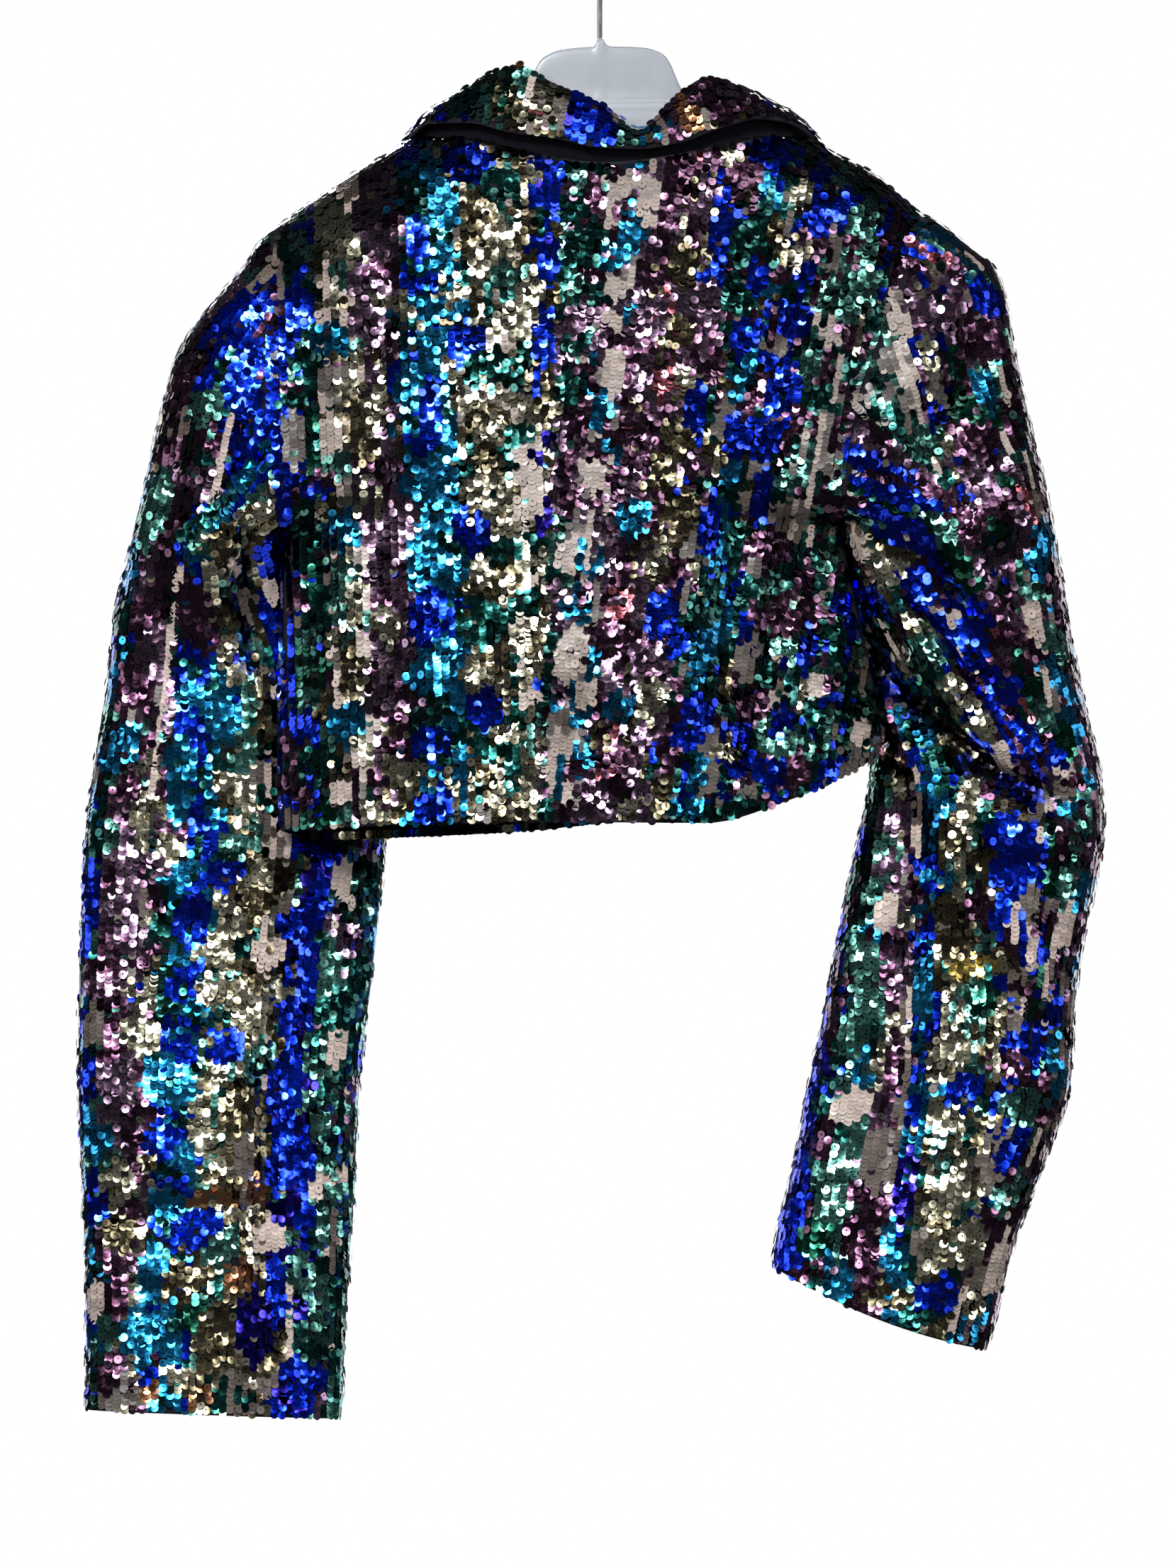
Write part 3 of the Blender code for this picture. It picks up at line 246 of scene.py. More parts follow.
# Soft ridges (height above 0) and troughs, each along a curve through three points of the picture's plane.
FOLD_COLUMNS = "x0 drop0 x1 drop1 x2 drop2 width height"
BACK_FOLDS = Table(FOLD_COLUMNS, [
    (165, 200, 137, 236, 96, 308, 9, 8),
    (150, 184, 116, 226, 78, 292, 8, -6.5),
    (132, 214, 100, 262, 66, 330, 7, 4),
    (124, 290, 104, 318, 84, 380, 9, 6.5),
    (110, 300, 88, 340, 70, 410, 7, -4.5),
    (72, 300, 73, 370, 70, 440, 8, -6.5),
    (52, 330, 54, 400, 46, 470, 8, 4),
    (-24, 428, -18, 456, 3, 480, 8, -6.5),
    (12, 436, -6, 458, -22, 486, 8, -5),
    (-10, 420, -6, 440, -2, 456, 8, 4),
    (-158, 262, -160, 332, -157, 400, 9, -5.5),
    (-143, 184, -150, 236, -150, 300, 10, 5),
    (-122, 200, -128, 300, -124, 420, 9, -3.5),
    (-104, 180, -108, 260, -104, 360, 9, 3),
    (-62, 330, -66, 420, -64, 505, 10, -3.5),
    (110, 270, 112, 370, 106, 480, 28, -9),
    (136, 412, 132, 446, 121, 486, 10, 8),
    (98, 396, 92, 440, 86, 494, 8, -7),
    (112, 380, 108, 430, 102, 490, 7, 4),
    (-96, 400, -92, 450, -94, 512, 11, 5),
    (14, 436, 36, 456, 62, 446, 17, 5),
    (-16, 462, -8, 424, 24, 414, 6, -4),
    (64, 416, 86, 452, 76, 488, 7, -5),
    (44, 480, 34, 500, 40, 516, 10, 4),
])
FRONT_FOLDS = Table(FOLD_COLUMNS, [
    (160, 216, 152, 270, 134, 344, 10, 4),
    (-160, 220, -152, 280, -132, 350, 11, 4),
    (118, 372, 88, 404, 44, 412, 12, 4),
    (104, 432, 84, 456, 52, 470, 11, -3),
    (-124, 380, -90, 420, -46, 440, 12, 3),
    (76, 440, 84, 470, 82, 494, 12, 3),
])
LEFT_BACK_FOLDS = Table(FOLD_COLUMNS, [
    (-197, 276, -199, 356, -193, 436, 9, -8.5),
    (-218, 260, -222, 332, -218, 396, 11, 7),
    (-238, 300, -244, 372, -248, 452, 9, -5.5),
    (-186, 330, -206, 350, -226, 392, 8, 4.5),
    (-286, 738, -242, 730, -168, 736, 9, -5),
    (-286, 716, -244, 710, -176, 718, 12, 4),
    (-166, 532, -170, 612, -178, 676, 11, -6.5),
    (-150, 530, -154, 560, -196, 556, 7, 4),
    (-258, 552, -234, 584, -206, 596, 9, -5),
    (-262, 530, -236, 556, -200, 568, 8, 4),
    (-256, 440, -240, 500, -236, 580, 9, -4),
    (-206, 612, -210, 692, -210, 812, 13, 5),
    (-184, 640, -186, 720, -180, 820, 9, -4),
    (-262, 620, -256, 700, -262, 820, 9, -3.5),
])
LEFT_FRONT_FOLDS = Table(FOLD_COLUMNS, [
    (-200, 260, -206, 340, -200, 420, 11, 6.5),
    (-236, 270, -240, 350, -236, 430, 11, -6.5),
    (-180, 400, -210, 440, -250, 452, 9, 4.5),
    (-170, 520, -200, 560, -240, 570, 10, -6.5),
    (-176, 560, -206, 590, -250, 600, 9, 4),
    (-220, 600, -216, 700, -220, 800, 12, 5),
    (-190, 640, -186, 720, -190, 810, 9, -4),
])
RIGHT_BACK_FOLDS = Table(FOLD_COLUMNS, [
    (130, 334, 176, 408, 234, 486, 9, 13),
    (162, 366, 206, 428, 244, 478, 7, -7),
    (132, 396, 196, 486, 270, 508, 9, -18),
    (150, 330, 190, 372, 216, 416, 8, -6),
    (186, 344, 228, 404, 260, 452, 10, 8),
    (166, 430, 186, 462, 214, 486, 6, 5),
    (218, 516, 240, 526, 270, 526, 9, 7),
    (186, 480, 198, 520, 200, 580, 9, 7),
    (168, 476, 176, 530, 172, 610, 8, -6),
    (206, 506, 212, 560, 206, 620, 8, -8),
    (152, 480, 134, 630, 114, 780, 14, 9),
    (170, 560, 168, 660, 156, 770, 9, -6),
    (192, 580, 198, 690, 204, 800, 13, 6),
    (226, 560, 244, 596, 254, 626, 7, 7),
    (222, 590, 236, 640, 232, 690, 8, -5),
    (244, 630, 240, 690, 226, 750, 8, 4),
    (218, 224, 198, 276, 178, 332, 11, -8),
    (238, 300, 222, 356, 196, 380, 11, 6.5),
    (196, 226, 176, 270, 158, 320, 9, 6),
    (152, 240, 146, 292, 148, 332, 9, -6.5),
    (226, 250, 230, 300, 212, 350, 8, -5),
    (180, 214, 190, 250, 196, 300, 8, -3.5),
])
RIGHT_FRONT_FOLDS = Table(FOLD_COLUMNS, [
    (160, 380, 200, 430, 250, 470, 13, -10),
    (170, 350, 214, 400, 262, 440, 13, 8),
    (168, 460, 200, 500, 236, 520, 11, 8),
    (180, 500, 214, 520, 250, 524, 9, -6),
    (214, 230, 196, 280, 182, 330, 12, -6.5),
    (236, 250, 224, 300, 206, 350, 10, 4.5),
    (190, 600, 186, 680, 180, 760, 13, 5),
    (226, 580, 230, 640, 214, 720, 10, -4.5),
])
# Painted shade in the sleeves' creases: fold depths between which sequin colours darken, and how much.
CREASE = (-4.0, -10.0)
CREASE_PAINTED_SHADE = 0.88
SHADED_CREASE_FOLDS = {
    "sleeve_left_upper": LEFT_BACK_FOLDS, "sleeve_left_under": LEFT_BACK_FOLDS,
    "sleeve_right_upper": RIGHT_BACK_FOLDS, "sleeve_right_under": RIGHT_BACK_FOLDS,
}
# Painted light and shade: factors on each panel's sequin colours at two drops. The others are 1 all over.
NO_PAINTED_LIGHT = ((0, 1), (1, 1))
PANEL_PAINTED_LIGHT = {
    "back_left": ((200, 420), (0.70, 0.98)), "back_right": ((200, 420), (0.66, 0.80)),
    "sleeve_left_upper": ((250, 700), (1.15, 1.0)), "sleeve_left_under": ((250, 700), (1.15, 1.35)),
    "sleeve_right_upper": ((300, 600), (0.72, 1.05)), "sleeve_right_under": ((300, 600), (0.85, 1.3)),
    "collar_fall": ((100, 200), (1.15, 1.15)),
}
# Points along a fold's curve, and how soon a sleeve's folds start from its edges.
FOLD_SAMPLES = 24
FOLD_REACH = 1.4

# Half of the hanger, by distance from its middle: the neck plate's top edge, the ledge at its foot, the
# underside, the plate's half thickness and the arm's half depth.
HANGER = Table("distance top ledge bottom plate arm", [
    (0, 74.0, 112, 150, 4.0, 9), (1.7, 74.2, 112, 150, 4.0, 9), (2.9, 76.8, 112, 150, 4.0, 9),
    (5.2, 78.3, 112, 150, 4.0, 9), (12, 78.6, 112, 150, 4.0, 9), (24, 79.6, 112, 150, 4.0, 9),
    (31, 81.8, 112, 150, 4.0, 9), (35, 84.5, 112, 150, 4.0, 9), (38, 89.0, 112.2, 150, 4.0, 9),
    (40.5, 95.0, 112.6, 150, 4.0, 9), (43, 101.0, 113.2, 150, 4.0, 9), (46, 106.0, 114.2, 150, 4.0, 9),
    (50, 111.0, 116.0, 150.5, 4.0, 9),
    (56, 116.0, 119.6, 151, 4.0, 9.2), (66, 121.0, 124.4, 152, 4.0, 9.4), (80, 126.0, 129.6, 154, 4.0, 9.8),
    (100, 132.8, 136.4, 160, 4.2, 10.4), (112, 137.4, 141.0, 166, 4.4, 11),
    (130, 146.4, 150.2, 176, 4.6, 11.6), (147, 156.0, 160.0, 186, 4.8, 12),
    (160, 164.4, 168.4, 193, 4.8, 12), (172, 174.4, 178.0, 198.5, 4.6, 11),
    (180, 180.8, 184.0, 201.5, 4.2, 10), (186, 186.2, 188.8, 202.8, 3.6, 8.4),
    (190, 190.4, 192.2, 202.0, 2.8, 6),
    (192.5, 194.4, 195.4, 200.0, 1.6, 3),
])
# Sections of one half, their crowding towards the middle, and rounds of corner cutting.
HANGER_STATIONS = 110
HANGER_CROWDING = 1.3
HANGER_CUTS = 2
# The hanger's middle and tilt. The boss under the hook stays on the hook, up to a distance from it.
HANGER_MIDDLE = 2.0
HANGER_BOSS = 14.0
HANGER_TILT = math.radians(1.1)

# The collar's three lines: where it is sewn on, its fold, and the free edge of its leaf. Back rows follow
# the photograph's humps and dip. Stations up to FRONT_END and from FRONT_START lie on the fronts, where y
# is the height over the front.
COLLAR = Table("station neck_x neck_y neck_drop crest_x crest_y crest_drop edge_x edge_y edge_drop", [
    (0, -79, 0, 190, -77.6, 3.4, 190, -117, 4.6, 196),
    (1, -87, 0, 168, -85.6, 3.6, 168, -123, 4.8, 173),
    (2, -93, 0, 148, -91.5, 4.5, 146, -120, 5.0, 153),
    (2.5, -97, 12, 136.5, -94.5, 15, 128, -114, 17, 135.5),
    (3, -99.4, 0, 130.4, -92.0, 2.0, 116.5, -107.0, 0.0, 128.5),
    (4, -88.0, -15.5, 130.6, -82.0, -11.0, 107.5, -96.0, -20.0, 122.0),
    (5, -72.0, -24.0, 131.6, -63.0, -20.0, 95.5, -74.0, -35.0, 122.5),
    (6, -52.0, -30.0, 136.2, -46.0, -26.0, 89.8, -50.0, -42.5, 128.5),
    (7, -28.0, -34.4, 141.6, -26.0, -31.0, 100.2, -27.0, -46.0, 131.5),
    (8, 0.0, -36.0, 145.2, 0.0, -34.5, 111.5, 0.0, -48.0, 137.2),
    (9, 22.0, -35.8, 143.8, 22.0, -36.0, 127.0, 22.0, -48.0, 137.6),
    (10, 42.0, -34.2, 140.6, 42.0, -32.5, 108.5, 44.0, -46.5, 134.5),
    (11, 66.0, -30.4, 135.2, 61.0, -26.5, 96.8, 66.0, -42.0, 126.5),
    (12, 88.0, -21.6, 130.4, 84.0, -17.0, 105.0, 90.0, -31.0, 120.0),
    (13, 102.0, -13.5, 129.6, 96.0, -9.0, 112.0, 106.0, -19.0, 121.5),
    (14, 112.6, 0.0, 129.9, 105.0, 2.0, 117.0, 120.5, 0.0, 129.0),
    (14.5, 110, 12, 136.5, 106.5, 15, 128, 127, 17, 136.5),
    (15, 103, 0, 149, 101.5, 4.5, 147, 131, 5.0, 153),
    (16, 92, 0, 168, 90.8, 3.6, 168, 131, 4.8, 173),
    (17, 79, 0, 190, 77.8, 3.4, 190, 120, 4.6, 196),
])
FRONT_END = 2
FRONT_START = 15
# Stations between which the plain stand shows under the leaf.
STAND_FROM = 2.7
STAND_TO = 14.3
COLLAR_COLUMNS = 48 * FINE
STAND_COLUMNS = 40 * FINE
# A point inside the neck, and how much of the leaf's bulge goes up or down.
COLLAR_CENTRE = (6.8, 12.0, -150.0)
COLLAR_RISE = 0.3
FALL_ROWS = 13
STAND_ROWS = 7
# The leaf's bulge and a power that moves it up. The stand ends under the fold, inside the leaf.
LEAF_BULGE = 2.6
LEAF_BULGE_TOP = 0.7
STAND_UNDER_CREST = 3.6
STAND_INSIDE = 2.4
STAND_FOOT = 0.3

# How far the outer edges of the revers lie from the roll line at each drop.
LAPEL_LEFT = Table("drop width", [
    (197, 58), (206, 64), (216, 66), (240, 60), (280, 45), (315, 27), (341, 9),
])
LAPEL_RIGHT = Table("drop width", [
    (197, 58), (206, 64), (216, 68), (240, 66), (280, 56), (330, 38), (370, 18), (390, 8),
])
LAPEL_ROWS = 12 * FINE
LAPEL_COLUMNS = 6 * FINE
# The revers' height over the fronts, the roll at their fold, and how far their outer edge droops.
LAPEL_LIFT = 3.0
LAPEL_ROLL = 1.6
LAPEL_ROLL_START = 0.15
LAPEL_DROOP = 6.0


def unit(vectors):
    """Vectors scaled to length one."""
    length = np.linalg.norm(vectors, axis=-1, keepdims=True)
    return vectors / np.maximum(length, 1e-9)


def fold_height(folds, x, drop):
    """How far the cloth stands out of its plain form at a place in the picture's plane."""
    x = np.asarray(x, dtype=float)
    total = np.zeros(np.broadcast(x, drop).shape)
    t = np.linspace(0, 1, FOLD_SAMPLES)
    fade = 1 - np.abs(2 * t - 1) ** 3
    for x0, d0, x1, d1, x2, d2, width, height in folds.data:
        line_x = (1 - t) ** 2 * x0 + 2 * t * (1 - t) * x1 + t * t * x2
        line_d = (1 - t) ** 2 * d0 + 2 * t * (1 - t) * d1 + t * t * d2
        away = (x[..., None] - line_x) ** 2 + (np.asarray(drop)[..., None] - line_d) ** 2
        total += height * np.max(fade * np.exp(-away / width ** 2), axis=-1)
    return total


class Sleeve:
    """One sleeve's form: a tube of flattened ellipses whose cap is cut off by the armhole."""

    def __init__(self, rows, armhole, back_folds, front_folds, cuff_hang):
        self.rows = rows
        self.armhole = armhole
        self.back_folds = back_folds
        self.front_folds = front_folds
        self.cuff_hang = cuff_hang
        self.apex = armhole.data[0, 0]
        self.underarm = armhole.data[-1, 0]
        self.cuff = rows.data[-1, 0]
        self.levels = self.apex + ARM_STEPS * (self.underarm - self.apex)

    def seam_angle(self, drop):
        """Angle round the section, from the outer edge, at which the armhole cuts it."""
        outer = self.rows.read("outer", drop)
        inner = self.rows.read("inner", drop)
        seam_x = self.armhole.read("seam_x", drop)
        cosine = (seam_x - (outer + inner) / 2) / ((outer - inner) / 2)
        angle = np.arccos(np.clip(cosine, -1, 1))
        return np.where(drop >= self.underarm - 1e-6, math.pi, angle)

    def point(self, angle, drop):
        """Outer surface at an angle round the section, positive on the back."""
        angle, drop = np.broadcast_arrays(np.asarray(angle, dtype=float), np.asarray(drop, dtype=float))
        read = self.rows.read
        zero = np.zeros(drop.shape)
        outer = np.stack([read("outer", drop), read("outer_y", drop), -drop], axis=-1)
        inner = np.stack([read("inner", drop), read("inner_y", drop), -drop - read("slant", drop)], axis=-1)
        half = (outer - inner) / 2
        across = unit(half)
        back = np.stack([zero, zero - 1, zero], axis=-1)
        depth_way = unit(back - across * np.sum(back * across, axis=-1, keepdims=True))
        turn = np.sin(angle)
        depth = read("half_depth", drop) * np.sign(turn) * np.abs(turn) ** SLEEVE_FLATNESS
        place = (outer + inner) / 2 + half * np.cos(angle)[..., None] + depth_way * depth[..., None]
        hang = np.clip(1 - (self.cuff - drop) / CUFF_HANG_FROM, 0, 1) ** 2 * self.cuff_hang
        place[..., 2] -= hang * turn ** 2
        x, low = place[..., 0], -place[..., 2]
        fold = np.where(angle > 0, fold_height(self.back_folds, x, low), 0)
        fold = np.where(angle < 0, fold_height(self.front_folds, x, low), fold)
        fold = np.where(angle > math.pi, fold_height(self.front_folds, x, low), fold)
        side = np.sign(np.sin(angle)) * np.minimum(1, np.abs(np.sin(angle)) * FOLD_REACH)
        return place + depth_way * (fold * side)[..., None]

    def seam_lines(self, drop):
        """Angles of the hind and fore seams between the upper and the under sleeve."""
        cut = self.seam_angle(drop)
        lines = []
        for top, angle in ((self.levels[HIND_STEP], HIND_ANGLE), (self.levels[FORE_STEP], FORE_ANGLE)):
            settled = angle + (self.seam_angle(top) - angle) * np.exp((top - drop) / SEAM_SETTLE)
            lines.append(np.where(drop > top, settled, cut))
        return lines

    def row_drops(self):
        """Rows from the top of the cap to the cuff."""
        below = np.linspace(self.underarm, self.cuff, SLEEVE_ROWS + 1)[1:]
        return np.concatenate([self.levels[FINE:], below])

    def upper(self):
        """Grid of the upper sleeve, from the front boundary to the back one."""
        drops = self.row_drops()
        hind, fore = self.seam_lines(drops)
        share = np.linspace(-1, 1, UPPER_COLUMNS + 1)
        angles = np.where(share >= 0, share * hind[:, None], share * fore[:, None])
        grid = self.point(angles, drops[:, None])
        top = np.abs(share)
        grid[0, :, 0] = self.armhole.read("seam_x", drops[0])
        grid[0, :, 1] = -share * abs(self.point(hind[0], drops[0])[1])
        grid[0, :, 2] = -(self.apex + (drops[0] - self.apex) * top)
        return grid

    def under(self):
        """Grid of the under sleeve and which of its points exist: its columns start down the armhole."""
        last = len(self.levels) - 1
        back_levels = self.levels[HIND_STEP:]
        front_levels = self.levels[FORE_STEP:last][::-1]
        tops = np.concatenate([back_levels, front_levels])
        cut = self.seam_angle(tops)
        cut[len(back_levels):] = 2 * math.pi - cut[len(back_levels):]
        hind, fore = self.seam_lines(tops)
        share = (cut - hind) / (2 * math.pi - fore - hind)
        drops = self.row_drops()[HIND_STEP - FINE:]
        hind, fore = self.seam_lines(drops)
        angles = hind[:, None] + share * (2 * math.pi - fore - hind)[:, None]
        return self.point(angles, drops[:, None]), drops[:, None] >= tops - 1e-6

    def seam_point(self, level, side):
        """Point of the armhole at a level, on the back (1) or the front (-1)."""
        if level <= self.apex + 1e-6:
            return np.array([self.armhole.read("seam_x", level), 0.0, -level])
        if level < self.levels[FINE] - 1e-6:
            share = (level - self.apex) / (self.levels[FINE] - self.apex)
            top, foot = self.seam_point(self.apex, side), self.seam_point(self.levels[FINE], side)
            return (1 - share) * top + share * foot
        if level >= self.underarm - 1e-6:
            return self.point(math.pi, level)
        return self.point(side * float(self.seam_angle(level)), level)


LEFT_SLEEVE = Sleeve(SLEEVE_LEFT, ARMHOLE_LEFT, LEFT_BACK_FOLDS, LEFT_FRONT_FOLDS, 0.0)
RIGHT_SLEEVE = Sleeve(SLEEVE_RIGHT, ARMHOLE_RIGHT, RIGHT_BACK_FOLDS, RIGHT_FRONT_FOLDS, 6.0)


def side_boundary(sleeve, side_table, facing):
    """Points down the armhole and the side seam, shared by the back (1) or the front (-1)."""
    points = [sleeve.seam_point(level, facing) for level in sleeve.levels]
    hem = side_table.data[-1, 0]
    for drop in np.linspace(sleeve.underarm, hem, SIDE_ROWS + 1)[1:]:
        points.append(np.array([side_table.read("side_x", drop), side_table.read("side_y", drop), -drop]))
    return np.array(points)


def rounded(distance, radius):
    """Quarter-circle rise from 0 to 1 over a distance."""
    t = np.clip(distance / radius, 0, 1)
    return np.sqrt(1 - (1 - t) ** 2)


def row_shares(boundary):
    """How far down the side each row lies, from 0 at the shoulder to 1 at the hem."""
    side_drop = -boundary[:, 2]
    return (side_drop - side_drop[0]) / (side_drop[-1] - side_drop[0])


def middle_shares(count):
    """Row shares at the middle of the body, the same for its left and right halves."""
    return np.linspace(0, 1, count) ** ROW_CROWDING


def body_grid(boundary, columns_x, top_drop, hem, inner_x, facing, folds, top_y):
    """Grid of a back or front: rows run from the top line to the hem, columns in from the side."""
    share_in = (columns_x - columns_x[0]) / (columns_x[-1] - columns_x[0])
    side_share = row_shares(boundary)[:, None]
    share_down = side_share + (middle_shares(len(boundary))[:, None] - side_share) * share_in
    hem_x = boundary[-1, 0] + (inner_x(hem_guess(hem, inner_x)) - boundary[-1, 0]) * share_in
    drop = top_drop + share_down * (hem.read("drop", hem_x) - top_drop)
    edge_x = inner_x(drop[:, -1])
    x = boundary[:, :1] + (edge_x[:, None] - boundary[:, :1]) * share_in
    away = np.clip(np.abs(x - boundary[:, :1]) / SIDE_ROUND, 0, 1)
    swell = np.sqrt(1 - (1 - away) ** 2) ** (BACK_FLATNESS if facing > 0 else FRONT_FLATNESS)
    depth = BODY_DEPTH.read("back" if facing > 0 else "front", drop)
    full = top_y + (depth - top_y) * rounded(drop - top_drop, SHOULDER_ROUND)
    side = -facing * boundary[:, 1:2]
    arched = np.sqrt(np.clip(side ** 2 + (full ** 2 - side ** 2) * swell ** 2, 0, None))
    out = np.where(side >= 0, arched, side + (full - side) * swell)
    settled = np.clip(away * FOLD_SETTLE, 0, 1) * rounded(drop - top_drop, SHOULDER_ROUND)
    out = out + fold_height(folds, x, drop) * settled
    grid = np.stack([x, -facing * out, -drop], axis=-1)
    grid[:, 0] = boundary
    grid[0, :, 0] = columns_x
    grid[0, :, 1] = -facing * top_y
    return grid


def hem_guess(hem, inner_x):
    """Drop of the hem at a panel's inner edge."""
    drop = HEM_NEAR
    for _ in range(4):
        drop = float(hem.read("drop", inner_x(drop)))
    return drop


def shoulder_columns(shoulder_x, neck_x):
    """Columns from the shoulder point to the neck point, closer together near the armhole."""
    share = np.linspace(0, 1, SHOULDER_COLUMNS + 1) ** COLUMN_CROWDING
    return shoulder_x + (neck_x - shoulder_x) * share


def centre_back(drop):
    """The centre-back seam's x."""
    top, bottom = CENTRE_BACK
    return top + (bottom - top) * np.clip((drop - CENTRE_BACK_TOP) / CENTRE_BACK_LENGTH, 0, 1)


def front_edge(neck_x, lap_x):
    """Function giving the x of a front's free edge: the roll line, then the lapped edge."""
    def edge(drop):
        run = BREAK_DROP - NECK_POINT_DROP
        share = np.clip((np.asarray(drop, dtype=float) - NECK_POINT_DROP) / run, 0, 1)
        return neck_x + (lap_x - neck_x) * share
    return edge


def back_grid(sleeve, side_table, neck_x):
    """Grid of one half of the back."""
    shoulder = shoulder_columns(sleeve.armhole.data[0, 1], neck_x)
    neck = np.linspace(neck_x, CENTRE_BACK[0], NECK_COLUMNS + 1)[1:]
    columns = np.concatenate([shoulder, neck])
    top_drop = BACK_TOP.read("drop", columns)
    middle = (NECK_LEFT + NECK_RIGHT) / 2
    half = (NECK_RIGHT - NECK_LEFT) / 2
    top_y = NECK_DEPTH * np.sqrt(np.clip(1 - ((columns - middle) / half) ** 2, 0, 1))
    boundary = side_boundary(sleeve, side_table, 1)
    return body_grid(boundary, columns, top_drop, BACK_HEM, centre_back, 1, BACK_FOLDS, top_y)


def front_grid(sleeve, side_table, neck_x, lap_x):
    """Grid of one front."""
    columns = shoulder_columns(sleeve.armhole.data[0, 1], neck_x)
    top_drop = BACK_TOP.read("drop", columns)
    boundary = side_boundary(sleeve, side_table, -1)
    edge = front_edge(neck_x, lap_x)
    top_y = np.zeros(len(columns))
    return body_grid(boundary, columns, top_drop, FRONT_HEM, edge, -1, FRONT_FOLDS, top_y)


def lap_over(grid):
    """Lift the right front where it lies on the left one."""
    reach = np.clip((LAP_START - grid[..., 0]) / LAP_SLOPE, 0, 1)
    grid[..., 1] += LAP_LIFT * reach * reach * (3 - 2 * reach)
    return grid


class Panel:
    """A sheet of cloth: points, faces, and at each point the way from the inner skin to the outer one."""

    def __init__(self, grid, core, present=None):
        rows, columns = grid.shape[:2]
        if present is None:
            present = np.ones((rows, columns), dtype=bool)
        index = np.full((rows, columns), -1)
        index[present] = np.arange(present.sum())
        self.grid = grid
        self.present = present
        self.points = grid[present]
        self.faces = []
        for j in range(rows - 1):
            for i in range(columns - 1):
                ring = (index[j, i], index[j, i + 1], index[j + 1, i + 1], index[j + 1, i])
                ring = tuple(int(k) for k in ring if k >= 0)
                if len(ring) > 2:
                    self.faces.append(ring)
        self.face_ways = np.array([self.face_way(face) for face in self.faces])
        centres = np.array([self.points[list(face)].mean(axis=0) for face in self.faces])
        if np.sum((centres - core) * self.face_ways) < 0:
            self.face_ways = -self.face_ways
        self.ways = np.zeros_like(self.points)
        for face, way in zip(self.faces, self.face_ways):
            for k in face:
                self.ways[k] += way
        self.ways = unit(self.ways)
        self.edges = self.find_edges()
        self.halves = []

    def face_way(self, face):
        """A face's unit normal."""
        corners = self.points[list(face)]
        return unit(np.cross(corners[2] - corners[0], corners[-1] - corners[1]))

    def find_edges(self):
        """Edges with one face, as (first point, second point, face)."""
        found = {}
        for number, face in enumerate(self.faces):
            for first, second in zip(face, face[1:] + face[:1]):
                pair = (min(first, second), max(first, second))
                found.setdefault(pair, []).append((first, second, number))
        return [uses[0] for uses in found.values() if len(uses) == 1]

    def draw_back(self, distance):
        """Draw the edges back from the seams, within the cloth."""
        pulls = {}
        for first, second, number in self.edges:
            along = self.points[second] - self.points[first]
            inward = unit(np.cross(self.face_ways[number], along))
            middle = self.points[list(self.faces[number])].mean(axis=0)
            if np.dot(inward, middle - self.points[first]) < 0:
                inward = -inward
            pulls.setdefault(first, []).append(inward)
            pulls.setdefault(second, []).append(inward)
        for k, (one, other) in pulls.items():
            self.points[k] += distance * (one + other) / max(EDGE_LIMIT, 1 + np.dot(one, other))

    def triangles(self):
        """Places and ways at the corners of the grid's triangles, worked out at the first call."""
        if not self.halves:
            for grid in (self.grid, self.ways.reshape(self.grid.shape)):
                a, b, c, d = grid[:-1, :-1], grid[:-1, 1:], grid[1:, 1:], grid[1:, :-1]
                trios = [np.stack(trio, axis=2).reshape(-1, 3, 3) for trio in ((a, b, c), (a, c, d))]
                self.halves.append(np.concatenate(trios))
        return self.halves


def key(point):
    """Rounded coordinates, by which panels find the seam points they share."""
    return tuple(np.round(point, 1))


def share_ways(body, sleeves):
    """Give panels that meet at a seam one direction there, so their edges meet in a mitre."""
    meeting = {}
    for group, panels in enumerate((body, sleeves)):
        for panel in panels:
            for k in {first for first, _, _ in panel.edges}:
                sides = meeting.setdefault(key(panel.points[k]), (np.zeros(3), np.zeros(3)))
                sides[group][:] += panel.ways[k]
    for group, panels in enumerate((body, sleeves)):
        for panel in panels:
            for k in {first for first, _, _ in panel.edges}:
                sides = [unit(side) for side in meeting[key(panel.points[k])]]
                back_to_back = np.dot(*sides) < BACK_TO_BACK
                shared = sides[group] if back_to_back else unit(sides[0] + sides[1])
                panel.ways[k] = shared / max(MITRE_LIMIT, float(np.dot(shared, panel.ways[k])))


def straight_cap(panel):
    """Ways along the cap's first row, which lies on the straight ends of the shoulder."""
    columns = panel.grid.shape[1]
    middle = columns // 2
    ends = (panel.ways[0].copy(), panel.ways[columns - 1].copy())
    for i in range(columns):
        share = abs(i - middle) / middle
        panel.ways[i] = (1 - share) * panel.ways[middle] + share * ends[0 if i < middle else 1]


